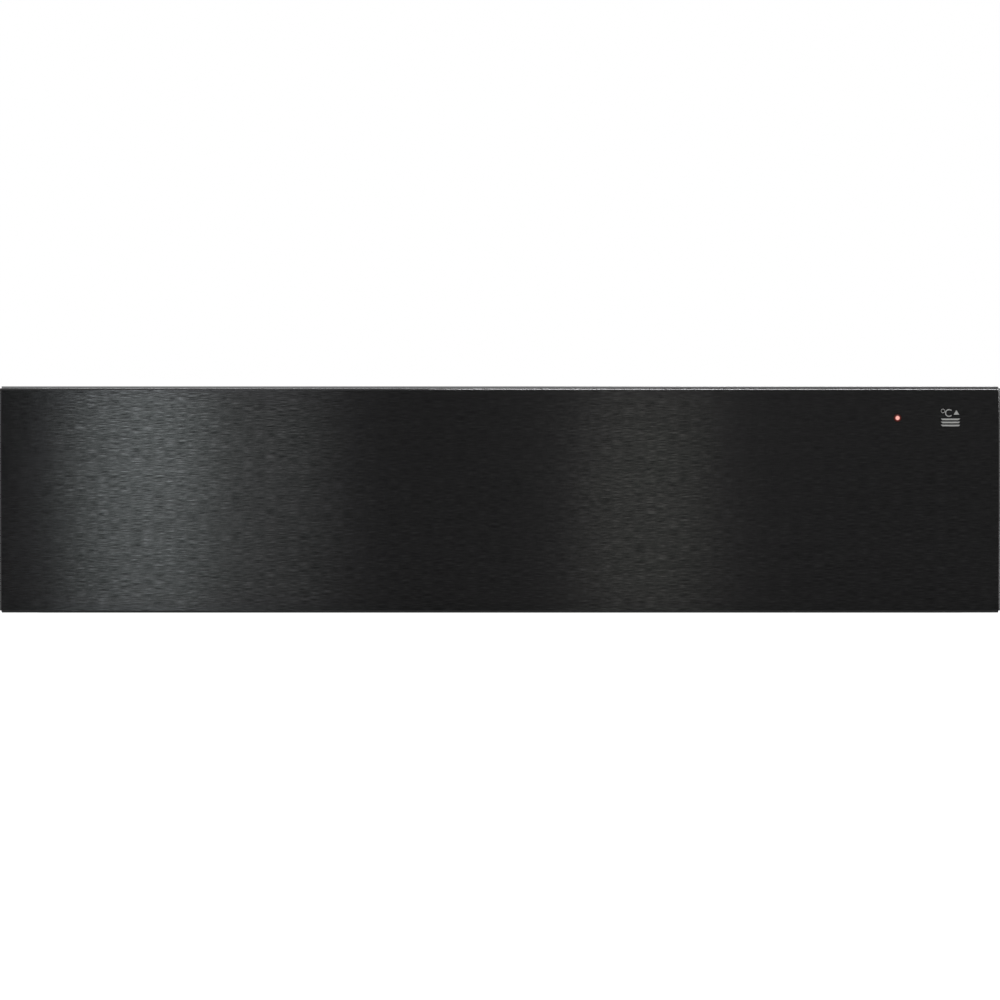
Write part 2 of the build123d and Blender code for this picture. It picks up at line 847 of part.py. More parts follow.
def make_heater_box():
    """Sheet box behind the tray's rear wall, open to the front, with a fixing flange."""
    wide = heater_width - 2 * heater_sheet
    high = heater_height - 2 * heater_sheet
    flange_back = rear_wall_back + heater_sheet
    box = centred_block(0, tray_middle_z, heater_width, heater_height, rear_wall_back, heater_back)
    box += centred_block(0, tray_middle_z, heater_width + 2 * heater_flange_x,
                         heater_height + 2 * heater_flange_z, rear_wall_back, flange_back)
    back_inside = heater_back - heater_sheet
    box -= centred_block(0, tray_middle_z, wide, high, rear_wall_back, back_inside)
    box -= rod_back(0, tray_middle_z, back_inside, heater_back, fan_shaft_hole_radius, small_flat_count)
    for x, z in element_ends():
        box -= rod_back(x, z, back_inside, heater_back, element_rod_radius + seat_play, small_flat_count)
    return box - rod_across(wide / 2, heater_width / 2, rear_wall_back + bulb_depth, bulb_z,
                            bulb_radius + seat_play)


def element_ends():
    """Where the ring's two ends turn back through the heater box, just past its end faces."""
    half_gap = radians(element_gap / 2)
    x = element_radius * sin(half_gap) - element_rod_radius * cos(half_gap)
    z = tray_middle_z - element_radius * cos(half_gap) - element_rod_radius * sin(half_gap)
    return [(side * x, z) for side in (-1, 1)]


def make_element():
    """Ring heating element, its two ends bent back through the box."""
    plane = Plane(origin=(0, y_at(rear_wall_back + element_depth), tray_middle_z), x_dir=(1, 0, 0),
                  z_dir=(0, -1, 0))
    rod = Plane(origin=(element_radius, 0, 0), x_dir=(1, 0, 0), z_dir=(0, -1, 0))
    section = rod * flat_circle(element_rod_radius, small_flat_count)
    ring = revolve(Rotation(0, 0, element_gap / 2 - 90) * section, Axis.Z, 360 - element_gap)
    element = plane * ring
    for x, z in element_ends():
        element += rod_back(x, z, rear_wall_back + element_depth - element_rod_radius,
                            heater_back + element_tail, element_rod_radius, small_flat_count)
    return element


def make_fan_wheel():
    """Radial wheel: plate, hub and straight blades."""
    front = rear_wall_back + fan_front
    wheel = rod_back(0, tray_middle_z, fan_back, fan_back + fan_plate, fan_radius, wheel_flat_count)
    hub_front = fan_back + fan_plate - fan_hub_length
    wheel += rod_back(0, tray_middle_z, hub_front, fan_back + fan_plate, fan_hub_radius, small_flat_count)
    blade = block(fan_blade_inner, fan_radius - touch_play, front, fan_back, -fan_blade / 2, fan_blade / 2)
    for step in range(fan_blade_count):
        turned = Rotation(0, step * 360 / fan_blade_count, 0) * blade
        wheel += Pos(0, 0, tray_middle_z) * turned
    return wheel - rod_back(0, tray_middle_z, hub_front, fan_back + fan_plate,
                            fan_shaft_radius + seat_play, small_flat_count)


def make_fan_shaft():
    """Steel shaft through both motor bearings, with the rotor on it."""
    front = fan_back + fan_plate - fan_hub_length
    shaft = rod_back(0, tray_middle_z, front, shaft_back, fan_shaft_radius)
    return shaft + rod_back(0, tray_middle_z, stack_front + rotor_end_gap, stack_back - rotor_end_gap,
                            rotor_radius)


def make_bulb():
    """Thermostat's sensing bulb, held where it passes through the heater box's side."""
    right = heater_width / 2 + bulb_past
    return rod_across(right - bulb_length, right, rear_wall_back + bulb_depth, bulb_z, bulb_radius)


def make_cutout():
    """Round thermal cut-out on the back of the heater box."""
    z = tray_middle_z
    plate = centred_block(cutout_from_middle, z, cutout_plate_length, cutout_plate_width,
                          heater_back, heater_back + cutout_plate)
    return plate + rod_back(cutout_from_middle, z, heater_back, heater_back + cutout_height,
                            cutout_radius, wheel_flat_count)


def make_motor_stack():
    """Laminated iron frame round the rotor, with a window for the coil."""
    half = stack_width / 2
    low = tray_middle_z - stack_below
    stack = block(-half, half, stack_front, stack_back, low, tray_middle_z + stack_above)
    window_half = half - stack_limb
    stack -= block(-window_half, window_half, stack_front, stack_back, low + stack_limb,
                   tray_middle_z - stack_bridge)
    stack -= rod_back(0, tray_middle_z, stack_front, stack_back, rotor_radius + rotor_gap)
    for x in along(2, 2 * stud_x):
        stack -= rod_back(x, tray_middle_z, stack_front, stack_back, stud_radius + seat_play,
                          small_flat_count)
    return stack


def make_motor_coil():
    """Winding round the frame's lower limb."""
    half = stack_width / 2 - stack_limb - coil_play
    low = tray_middle_z - stack_below
    coil = block(-half, half, stack_front - coil_thickness, stack_back + coil_thickness,
                 low - coil_thickness, low + stack_limb + coil_thickness)
    coil = fillet(coil.edges().filter_by(Axis.X), coil_thickness / 2)
    return coil - block(-half, half, stack_front - coil_play, stack_back + coil_play, low - coil_play,
                        low + stack_limb + coil_play)


def motor_bracket(plate_front, boss_front):
    """Strap across the frame with a bearing in its middle."""
    strap = centred_block(0, tray_middle_z, stack_width, bracket_height, plate_front,
                          plate_front + bracket_sheet)
    strap += rod_back(0, tray_middle_z, boss_front, boss_front + bearing_length, bearing_radius,
                      small_flat_count)
    strap -= rod_back(0, tray_middle_z, boss_front, boss_front + bearing_length,
                      fan_shaft_radius + seat_play)
    for x in along(2, 2 * stud_x):
        strap -= rod_back(x, tray_middle_z, plate_front, plate_front + bracket_sheet,
                          stud_radius + seat_play, small_flat_count)
    return strap


def make_motor_front_bracket():
    return motor_bracket(motor_front, stack_front - bearing_length)


def make_motor_rear_bracket():
    return motor_bracket(stack_back, stack_back)


def make_motor_studs():
    """Two studs that carry the motor on the heater box, each with its spacer and nut."""
    studs = []
    for x in along(2, 2 * stud_x):
        stud = rod_back(x, tray_middle_z, heater_back, motor_back + stud_nut + stud_past, stud_radius,
                        small_flat_count)
        stud += rod_back(x, tray_middle_z, heater_back, motor_front, stud_collar_radius, small_flat_count)
        hexagon = Pos(x, tray_middle_z) * RegularPolygon(stud_nut_radius, 6)
        studs.append(stud + drawn_back(hexagon, motor_back, motor_back + stud_nut))
    return group(studs)


# ---------------------------------------------------------------- controls inside the drawer
def console_form(inset, high):
    """Block in the tray's front right corner, rounded below to clear the tray's fold."""
    form = block(console_left + inset, console_right - inset, console_front + inset,
                 console_back - inset, tray_floor, high)
    low_right = form.edges().filter_by(Axis.Y).group_by(Axis.Z)[0].sort_by(Axis.X)[-1]
    form = fillet(low_right, tray_inner_bend + console_play - inset)
    uprights = form.edges().filter_by(Axis.Z).group_by(Axis.Y)[-1].sort_by(Axis.X)[0]
    return fillet(uprights, console_edge - inset)


def make_console():
    """Moulded cover over the thermostat and the switch."""
    console = console_form(0, console_top) - console_form(console_wall, console_under)
    console -= rod_up(knob_x, console_middle, console_under, console_top, stat_bush_radius + seat_play,
                      small_flat_count)
    return console - block(rocker_x - switch_half_width - seat_play,
                           rocker_x + switch_half_width + seat_play,
                           console_middle - switch_half_length - seat_play,
                           console_middle + switch_half_length + seat_play, console_under, console_top)


def make_thermostat():
    """Thermostat under the console's face, with its threaded bush."""
    body = block(knob_x - stat_width / 2, knob_x + stat_width / 2, console_middle - stat_depth / 2,
                 console_middle + stat_depth / 2, console_under - stat_height, console_under)
    body += rod_up(knob_x, console_middle, console_under, console_top + stat_nut, stat_bush_radius,
                   small_flat_count)
    return body - rod_up(knob_x, console_middle, console_under - stat_shaft_in,
                         console_top + stat_nut, stat_shaft_radius + seat_play)


def make_thermostat_nut():
    hexagon = RegularPolygon(stat_nut_radius, 6)
    nut = Pos(knob_x, y_at(console_middle), console_top) * extrude(hexagon, amount=stat_nut)
    return nut - rod_up(knob_x, console_middle, console_top, console_top + stat_nut,
                        stat_bush_radius + seat_play, small_flat_count)


def make_thermostat_shaft():
    """Shaft that stops just short of the bottom of its bore."""
    return rod_up(knob_x, console_middle, console_under - stat_shaft_in + touch_play, shaft_top,
                  stat_shaft_radius)


def make_knob():
    """Round skirt with a bar grip and a pointer line, hollow below over the nut."""
    grip_low = knob_low + knob_skirt
    knob = rod_up(knob_x, console_middle, knob_low, grip_low, knob_skirt_radius)
    grip = rod_up(knob_x, console_middle, grip_low, knob_top, knob_grip_radius)
    half = knob_grip_width / 2
    reach = knob_grip_radius
    grip &= block(knob_x - half, knob_x + half, console_middle - reach, console_middle + reach,
                  grip_low, knob_top)
    knob += grip
    line_half = knob_line_width / 2
    line_front = console_middle - knob_grip_radius
    knob -= block(knob_x - line_half, knob_x + line_half, line_front, line_front + knob_line_length,
                  knob_top - knob_line_depth, knob_top)
    cavity_top = console_top + stat_nut + nut_cavity_play
    knob -= rod_up(knob_x, console_middle, knob_low, cavity_top, stat_nut_radius + nut_cavity_play,
                   small_flat_count)
    return knob - rod_up(knob_x, console_middle, knob_low, shaft_top, stat_shaft_radius + seat_play,
                         small_flat_count)


def make_switch_frame():
    """Body of the on/off switch, with the rim that rests on the console's face."""
    low = console_top - switch_body_depth
    body = block(rocker_x - switch_half_width, rocker_x + switch_half_width,
                 console_middle - switch_half_length, console_middle + switch_half_length,
                 low, console_top)
    rim_x = switch_half_width + switch_rim_width
    rim_y = switch_half_length + switch_rim_width
    body += block(rocker_x - rim_x, rocker_x + rim_x, console_middle - rim_y, console_middle + rim_y,
                  console_top, console_top + switch_rim)
    room_x = rocker_width / 2 + touch_play
    room_y = rocker_radius + touch_play
    body -= block(rocker_x - room_x, rocker_x + room_x, console_middle - room_y, console_middle + room_y,
                  low + switch_floor, console_top + switch_rim)
    pin_reach = switch_half_width
    body -= rod_across(rocker_x - pin_reach, rocker_x + pin_reach, console_middle, rocker_pivot_z,
                       rocker_pin_radius + seat_play)
    for step in along(2, switch_tag_spacing):
        middle = console_middle + step
        body += block(rocker_x - switch_tag_width / 2, rocker_x + switch_tag_width / 2,
                      middle - switch_tag / 2, middle + switch_tag / 2, low - switch_tag_length, low)
    return body


def make_rocker():
    """Rocker pressed down at the back, its ends round about the pivot and its top a shallow vee."""
    high = radians(rocker_end_angle)
    low = radians(-rocker_low_angle)
    right_top = (rocker_radius * cos(high), rocker_radius * sin(high))
    right_low = (rocker_radius * cos(low), rocker_radius * sin(low))
    vee = (0, right_top[1] - right_top[0] * tan(radians(rocker_tilt)))
    ends = RadiusArc(right_low, right_top, -rocker_radius)
    left_low = (-right_low[0], right_low[1])
    left_top = (-right_top[0], right_top[1])
    other = RadiusArc(left_top, left_low, -rocker_radius)
    outline = make_face([ends, Line(right_top, vee), Line(vee, left_top), other, Line(left_low, right_low)])
    plane = Plane(origin=(rocker_x - rocker_width / 2, y_at(console_middle), rocker_pivot_z),
                  x_dir=(0, 1, 0), z_dir=(1, 0, 0))
    cap = extrude(plane * Rotation(0, 0, -rocker_tilt) * outline, amount=rocker_width)
    reach = switch_half_width - seat_play
    return cap + rod_across(rocker_x - reach, rocker_x + reach, console_middle, rocker_pivot_z,
                            rocker_pin_radius)


# ---------------------------------------------------------------- push latches
def make_latch_body():
    """Spring case on the right-hand side sheet, bored for its plunger."""
    body = block(wall_x - latch_width, wall_x, latch_front, latch_front + latch_length,
                 latch_z - latch_height / 2, latch_z + latch_height / 2)
    bore_back = latch_front + plunger_in + push_travel + touch_play
    return body - rod_back(latch_x, latch_z, latch_front, bore_back, plunger_radius + seat_play)


def make_plunger():
    rod = rod_back(latch_x, latch_z, plunger_tip, latch_front + plunger_in, plunger_radius)
    head = rod_back(latch_x, latch_z, plunger_tip, plunger_tip + plunger_head, plunger_head_radius)
    return rod + head


def make_striker():
    """Pad on the back of the front, in line with the plunger."""
    return centred_block(latch_x, latch_z, striker_width, striker_height, panel_return, striker_back)


# ---------------------------------------------------------------- every piece by name
def make_pieces():
    pieces = {
        "front_panel": make_front_panel(),
        "front_inner_panel": make_lining(),
        "front_insulation": make_insulation(),
        "light_lens": make_lens(),
        "light_holder": make_light_holder(),
        "light_board": make_light_board(),
        "base_pan": make_base_pan(),
        "top_cover": make_top_cover(),
        "rear_panel": make_rear_panel(),
        "front_frame": make_front_frame(),
        "cover_screws": make_cover_screws(),
        "slide_rivets": make_slide_rivets(),
        "cable_gland": make_gland(),
        "gland_nut": make_gland_nut(),
        "terminal_block": make_terminal_block(),
        "tray": make_tray(),
        "tray_front_wall": make_tray_front_wall(),
        "tray_rear_wall": make_tray_rear_wall(),
        "tray_mat": make_mat(),
        "tray_screws": make_tray_screws(),
        "front_screws": make_front_screws(),
        "heater_grille": make_grille(),
        "grille_screws": make_grille_screws(),
        "heater_box": make_heater_box(),
        "ring_element": make_element(),
        "fan_wheel": make_fan_wheel(),
        "fan_shaft": make_fan_shaft(),
        "thermostat_bulb": make_bulb(),
        "thermal_cutout": make_cutout(),
        "motor_stack": make_motor_stack(),
        "motor_coil": make_motor_coil(),
        "motor_front_bracket": make_motor_front_bracket(),
        "motor_rear_bracket": make_motor_rear_bracket(),
        "motor_studs": make_motor_studs(),
        "console": make_console(),
        "thermostat_body": make_thermostat(),
        "thermostat_nut": make_thermostat_nut(),
        "thermostat_shaft": make_thermostat_shaft(),
        "thermostat_knob": make_knob(),
        "switch_frame": make_switch_frame(),
        "switch_rocker": make_rocker(),
    }
    pairs = {
        "side_sheet": make_side_sheet(),
        "outer_slide": make_outer_member(),
        "middle_slide": make_middle_member(),
        "inner_slide": make_inner_member(),
        "outer_ball_cage": make_outer_cage(),
        "inner_ball_cage": make_inner_cage(),
        "latch_body": make_latch_body(),
        "latch_plunger": make_plunger(),
        "latch_striker": make_striker(),
    }
    for name, right_piece in pairs.items():
        pieces[name + "_left"], pieces[name + "_right"] = left_and_right(right_piece)
    return pieces


os.makedirs("parts", exist_ok=True)
for name, piece in make_pieces().items():
    export_step(piece, os.path.join("parts", name + ".step"))
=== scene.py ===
# %% [markdown]
# # A built-in warming drawer
# The drawer keeps plates and food warm below an oven. What a kitchen shows of it is one folded
# sheet of black brushed steel with a small red light and a printed symbol. Behind it are a sheet
# housing, a steel tray on ball slides, a fan heater and two controls. Each lesson below makes one
# piece or one finish. Lengths in the lessons are millimetres and become metres in the meshes.

# %% Load the frame
import bpy
import bmesh
import json
from math import copysign, cos, pi, radians, sin, sqrt
from mathutils import Matrix, Vector


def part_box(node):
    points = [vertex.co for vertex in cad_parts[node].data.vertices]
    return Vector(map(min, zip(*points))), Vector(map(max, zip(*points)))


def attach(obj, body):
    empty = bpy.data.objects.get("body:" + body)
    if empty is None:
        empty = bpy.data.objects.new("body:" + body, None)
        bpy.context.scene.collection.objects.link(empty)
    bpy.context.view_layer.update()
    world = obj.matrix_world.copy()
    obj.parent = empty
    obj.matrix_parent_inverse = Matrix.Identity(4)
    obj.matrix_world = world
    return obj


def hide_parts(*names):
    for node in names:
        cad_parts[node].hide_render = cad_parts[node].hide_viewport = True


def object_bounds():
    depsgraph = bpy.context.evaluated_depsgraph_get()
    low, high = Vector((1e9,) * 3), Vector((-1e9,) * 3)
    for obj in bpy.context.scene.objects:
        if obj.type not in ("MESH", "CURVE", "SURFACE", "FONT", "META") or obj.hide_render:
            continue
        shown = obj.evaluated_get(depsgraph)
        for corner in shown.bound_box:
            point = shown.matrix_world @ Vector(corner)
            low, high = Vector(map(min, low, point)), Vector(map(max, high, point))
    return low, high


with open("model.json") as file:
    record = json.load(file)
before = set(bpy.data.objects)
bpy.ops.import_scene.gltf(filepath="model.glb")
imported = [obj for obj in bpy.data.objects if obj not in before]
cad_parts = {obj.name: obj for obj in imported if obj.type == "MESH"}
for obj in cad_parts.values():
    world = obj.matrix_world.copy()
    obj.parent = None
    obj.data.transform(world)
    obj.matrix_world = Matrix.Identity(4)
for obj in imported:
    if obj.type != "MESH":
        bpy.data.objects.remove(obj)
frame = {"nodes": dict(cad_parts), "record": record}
cad_low, cad_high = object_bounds()
record = frame["record"]
mm = 0.001
front_y = cad_low.y
body_of = {node: body for body, nodes in record["behaviour"]["bodies"].items() for node in nodes}
slot_of = {part["node"]: part["material_slot"] for part in record["subparts"]}
scene = bpy.context.scene
print("nodes", len(slot_of), "box", [round(v, 4) for v in (*cad_low, *cad_high)])

# %% [markdown]
# ## Camera
# The photograph is a straight-on elevation whose sides run parallel, so it was taken from far
# away. A long lens does the same: at 200 mm on a 36 mm sensor the view is 36/200 of the distance
# wide, and the camera stands back until the 597 mm front fills it exactly. Its height puts the
# front where it is in the frame, just above the middle.

# %% Camera
def show(name, data):
    """Puts data in the scene as an object."""
    made = bpy.data.objects.new(name, data)
    scene.collection.objects.link(made)
    return made


panel_low, panel_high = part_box("front_panel")
panel_width = panel_high.x - panel_low.x
lens, sensor = 200, 36
closer = 0.999  # half a pixel of the front falls outside the frame on each side
distance = panel_width * lens / sensor * closer
eye_x, eye_height = 0.05 * mm, 67.7 * mm
camera_data = bpy.data.cameras.new("camera")
camera_data.lens, camera_data.sensor_width = lens, sensor
camera_data.clip_start, camera_data.clip_end = 0.05, 60
camera = show("camera", camera_data)
camera.location = (eye_x, front_y - distance, eye_height)
camera.rotation_euler = (radians(90), 0, 0)
scene.camera = camera
print("camera", round(distance, 3), "m in front")

# %% [markdown]
# ## Floor and light
# A white surround is what makes the photograph's background white, but if it also lit the steel
# at full strength the black would go grey. So the world is white to the camera and dimmer to the
# steel. The floor gets the same help: a little light of its own where the camera sees it.

# %% Floor and world
def link(tree, source, target):
    tree.links.new(source, target)


def node(tree, kind, **values):
    made = tree.nodes.new(kind)
    for key, value in values.items():
        setattr(made, key, value)
    return made


def make_world(grey):
    """White to the camera, and this grey to what it lights."""
    world = bpy.data.worlds.new("studio")
    world.use_nodes = True
    tree = world.node_tree
    tree.nodes.clear()
    path = node(tree, "ShaderNodeLightPath")
    mix = node(tree, "ShaderNodeMixShader")
    out = node(tree, "ShaderNodeOutputWorld")
    link(tree, path.outputs["Is Camera Ray"], mix.inputs["Fac"])
    for socket, shade in ((1, grey), (2, 1)):
        sky = node(tree, "ShaderNodeBackground")
        sky.inputs["Color"].default_value = (shade, shade, shade, 1)
        link(tree, sky.outputs[0], mix.inputs[socket])
    link(tree, mix.outputs[0], out.inputs["Surface"])
    scene.world = world


def mesh_of(bm, name):
    mesh = bpy.data.meshes.new(name)
    bm.to_mesh(mesh)
    bm.free()
    return mesh


def make_floor(radius, grey):
    bm = bmesh.new()
    bmesh.ops.create_circle(bm, cap_ends=True, segments=64, radius=radius)
    floor = show("floor", mesh_of(bm, "floor"))
    paper = bpy.data.materials.new("pale_floor")
    paper.use_nodes = True
    tree = paper.node_tree
    tree.nodes.clear()
    path = node(tree, "ShaderNodeLightPath")
    matt = node(tree, "ShaderNodeBsdfDiffuse")
    matt.inputs["Color"].default_value = (grey, grey, grey, 1)
    own = node(tree, "ShaderNodeEmission")
    out = node(tree, "ShaderNodeOutputMaterial")
    total = node(tree, "ShaderNodeAddShader")
    link(tree, path.outputs["Is Camera Ray"], own.inputs["Strength"])
    link(tree, matt.outputs[0], total.inputs[0])
    link(tree, own.outputs[0], total.inputs[1])
    link(tree, total.outputs[0], out.inputs["Surface"])
    floor.data.materials.append(paper)
    floor.location.z = -0.2 * mm


make_world(0.42)
make_floor(8, 0.45)
scene.view_settings.view_transform = "Standard"
print("floor and world ready")

# %% [markdown]
# ## Lamps
# Brushed steel draws each lamp out into a band across its grain. The photograph's front has a
# strong band at the left and a weaker one right of the middle, so tall narrow lamps stand in
# front of it there. Three slim ones trace the folds along the top and the right edge, and broad
# soft lamps above, beside and behind shape the rest.

# %% Lamps
def lamp(name, place, aim, width, height, power, colour=(1, 1, 1), roll=0):
    data = bpy.data.lights.new(name, "AREA")
    data.shape = "RECTANGLE"
    data.size, data.size_y = width, height
    data.energy, data.color = power, colour
    made = show(name, data)
    made.location = place
    facing = (Vector(aim) - Vector(place)).to_track_quat("-Z", "Y").to_matrix().to_4x4()
    made.rotation_euler = (facing @ Matrix.Rotation(radians(roll), 4, "Z")).to_euler()
    made.visible_camera = False


band_distance, band_height = 1.3, 0.07
for name, x, aim_x, width, height, power, colour in (
        ("left_band", -0.30, -0.215, 0.10, 0.4, 1.13, (0.91, 0.98, 1)),
        ("left_shoulder", -0.205, -0.15, 0.12, 0.4, 0.39, (0.97, 0.99, 1)),
        ("right_band", 0.122, 0.09, 0.10, 0.16, 0.165, (1, 1, 0.93))):
    lamp(name, (x, front_y - band_distance, band_height), (aim_x, front_y, band_height),
         width, height, power, colour)
lamp("top_line", (-0.17, front_y - 0.8, 1.27), (-0.15, front_y, 0.13), 0.52, 0.09, 2.2, roll=-20)
lamp("low_line", (0.25, front_y - 1.23, 0.8), (0.18, front_y, 0.13), 0.64, 0.09, 5.6)
lamp("right_line", (1.9, front_y - 1.2, 0.1), (0.3, front_y, 0.07), 0.15, 1.0, 3.5)
lamp("overhead", (-0.3, -0.2, 1.9), (0, 0, 0.1), 1.8, 1.4, 12)
lamp("left_side", (-1.9, 0.2, 1.6), (0, 0, 0.1), 1.0, 1.0, 14)
lamp("right_side", (1.9, -0.3, 1.5), (0, 0, 0.1), 1.0, 1.0, 11)
lamp("behind", (0.7, 2.1, 1.7), (0, 0.2, 0.1), 1.2, 0.8, 17)

# %% [markdown]
# ## Node groups
# Several finishes share an effect: the brushed grain of rolled and ground sheet, the crystals of
# a zinc coat, the fine pebbling of a moulding tool, and the faint uneven wiping and dust that no
# real surface lacks. Each is built once as a group with named sockets and placed in a material
# with its own values. They all read Object coordinates, so a pattern keeps its true size.

# %% Helpers for groups
def new_group(name, outputs, **inputs):
    """A group with a Vector input, number inputs with their first values, and number outputs."""
    group = bpy.data.node_groups.new(name, "ShaderNodeTree")
    group.interface.new_socket("Vector", in_out="INPUT", socket_type="NodeSocketVector")
    for socket, value in inputs.items():
        made = group.interface.new_socket(socket, in_out="INPUT", socket_type="NodeSocketFloat")
        made.default_value = value
    for socket in outputs:
        group.interface.new_socket(socket, in_out="OUTPUT", socket_type="NodeSocketFloat")
    return group, group.nodes.new("NodeGroupInput"), group.nodes.new("NodeGroupOutput")


def feed(tree, made, values):
    """Links the values that vary to a node's sockets, and sets those that don't."""
    for key, value in values.items():
        if hasattr(value, "is_output"):
            link(tree, value, made.inputs[key])
        else:
            made.inputs[key].default_value = value


def maths(tree, operation, *values, clamp=False):
    made = node(tree, "ShaderNodeMath", operation=operation, use_clamp=clamp)
    feed(tree, made, dict(enumerate(values)))
    return made.outputs[0]


def vectors(tree, operation, *values):
    made = node(tree, "ShaderNodeVectorMath", operation=operation)
    feed(tree, made, dict(enumerate(values)))
    return made.outputs["Value" if operation in ("LENGTH", "DISTANCE") else "Vector"]


def ranged(tree, value, low, high, to_low, to_high):
    made = node(tree, "ShaderNodeMapRange")
    feed(tree, made, {"Value": value, "From Min": low, "From Max": high, "To Min": to_low,
                      "To Max": to_high})
    return made.outputs["Result"]


def noise(tree, vector, scale, detail=2.0, rough=0.5):
    made = node(tree, "ShaderNodeTexNoise")
    feed(tree, made, {"Vector": vector, "Scale": scale, "Detail": detail, "Roughness": rough})
    return made.outputs["Fac"]


print("group helpers ready")

# %% [markdown]
# ### Brushed grain
# A brushing belt leaves scratches a few millimetres long and a fraction of one wide, all one way.
# Noise drawn out along the brushing direction has that shape. Two sizes are mixed: fine streaks,
# and wider soft ones where the belt pressed harder. The shade grows by the exponential of the
# noise, so the bright streaks stand out and the dark ones never reach black.

# %% Brushed grain group
def blend(tree, first, second, share):
    """This share of the first value and the rest of the second."""
    return maths(tree, "ADD", maths(tree, "MULTIPLY", first, share),
                 maths(tree, "MULTIPLY", second, 1 - share))


def make_grain():
    group, given, result = new_group("brushed_grain", ("Shade", "Height"), Contrast=0.2)
    fine = noise(group, given.outputs["Vector"], 1.0, 3.0, 0.6)
    wider = vectors(group, "MULTIPLY", given.outputs["Vector"], (0.22, 0.22, 0.22))
    both = blend(group, fine, noise(group, wider, 1.0), 0.88)
    middled = maths(group, "SUBTRACT", both, 0.5)
    spread = maths(group, "MULTIPLY", middled, given.outputs["Contrast"])
    link(group, maths(group, "EXPONENT", spread), result.inputs["Shade"])
    link(group, both, result.inputs["Height"])
    return group


grain_group = make_grain()
print("group", grain_group.name)

# %% [markdown]
# ### Handling
# Large soft noise that shifts the roughness a little: where a surface was wiped, touched or has
# gathered a film of dust. It is kept weak on a new appliance and is what stops a reflection from
# looking printed.

# %% Handling and moulding groups
def make_handling():
    group, given, result = new_group("handling", ("Roughness", "Shade"), Roughness=0.4, Amount=0.1)
    cloud = noise(group, given.outputs["Vector"], 14.0, 3.0, 0.55)
    speck = noise(group, given.outputs["Vector"], 900.0, 1.0)
    middled = maths(group, "SUBTRACT", blend(group, cloud, speck, 0.8), 0.5)
    change = maths(group, "MULTIPLY", middled, given.outputs["Amount"])
    rough = maths(group, "ADD", given.outputs["Roughness"], change, clamp=True)
    link(group, rough, result.inputs["Roughness"])
    link(group, maths(group, "ADD", 1.0, change), result.inputs["Shade"])
    return group


def voronoi(tree, vector, scale, feature="F1"):
    made = node(tree, "ShaderNodeTexVoronoi", feature=feature)
    feed(tree, made, {"Vector": vector, "Scale": scale})
    return made


def make_moulding():
    group, given, result = new_group("moulded_skin", ("Height",), Scale=1500.0)
    cells = voronoi(group, given.outputs["Vector"], given.outputs["Scale"], "SMOOTH_F1")
    link(group, cells.outputs["Distance"], result.inputs["Height"])
    return group


def make_spangle():
    """Crystals with slightly wavy borders: a shade and a second number for each."""
    group, given, result = new_group("zinc_spangle", ("Shade", "Fac"), Scale=150.0)
    push = maths(group, "MULTIPLY", noise(group, given.outputs["Vector"], 60.0), 0.006)
    moved = vectors(group, "ADD", given.outputs["Vector"], push)
    split = node(group, "ShaderNodeSeparateColor")
    cells = voronoi(group, moved, given.outputs["Scale"])
    link(group, cells.outputs["Color"], split.inputs[0])
    link(group, ranged(group, split.outputs[0], 0, 1, 0.86, 1.1), result.inputs["Shade"])
    link(group, split.outputs[1], result.inputs["Fac"])
    return group


handling_group, moulding_group, spangle_group = make_handling(), make_moulding(), make_spangle()
print("groups", handling_group.name, moulding_group.name, spangle_group.name)

# %% [markdown]
# ## Finishes
# Every finish starts from one Principled shader. Numbers that don't vary sit on its sockets;
# what varies comes from the groups. A helper sets out the shader, the Object coordinates and a
# Mapping that stretches them, so that each finish below is only what makes it different.

# %% Finish helpers
def principled(name, colour, rough, metal=0.0, **more):
    material = bpy.data.materials.new(name)
    material.use_nodes = True
    tree = material.node_tree
    shader = tree.nodes["Principled BSDF"]
    feed(tree, shader, {"Base Color": (*colour, 1), "Roughness": rough, "Metallic": metal})
    feed(tree, shader, {key.replace("_", " "): value for key, value in more.items()})
    return material, tree, shader


def stretched(tree, scale=(1, 1, 1), turn=(0, 0, 0)):
    point = node(tree, "ShaderNodeTexCoord").outputs["Object"]
    mapping = node(tree, "ShaderNodeMapping")
    feed(tree, mapping, {"Vector": point, "Scale": scale, "Rotation": turn})
    return mapping.outputs["Vector"]


def use(tree, group, vector, **values):
    made = node(tree, "ShaderNodeGroup", node_tree=group)
    feed(tree, made, {"Vector": vector, **values})
    return made


def tint(tree, shader, colour, shade):
    """Base colour times a shade that varies."""
    made = node(tree, "ShaderNodeVectorMath", operation="SCALE")
    feed(tree, made, {0: colour, "Scale": shade})
    link(tree, made.outputs[0], shader.inputs["Base Color"])


def bump(tree, shader, height, depth, strength=1.0):
    made = node(tree, "ShaderNodeBump")
    feed(tree, made, {"Height": height, "Distance": depth, "Strength": strength})
    link(tree, made.outputs[0], shader.inputs["Normal"])


def wipe(tree, shader, rough, amount):
    """Uneven roughness from handling. Returns the shade that goes with it."""
    wiped = use(tree, handling_group, stretched(tree), Roughness=rough, Amount=amount)
    link(tree, wiped.outputs["Roughness"], shader.inputs["Roughness"])
    return wiped.outputs["Shade"]


print("finish helpers ready")
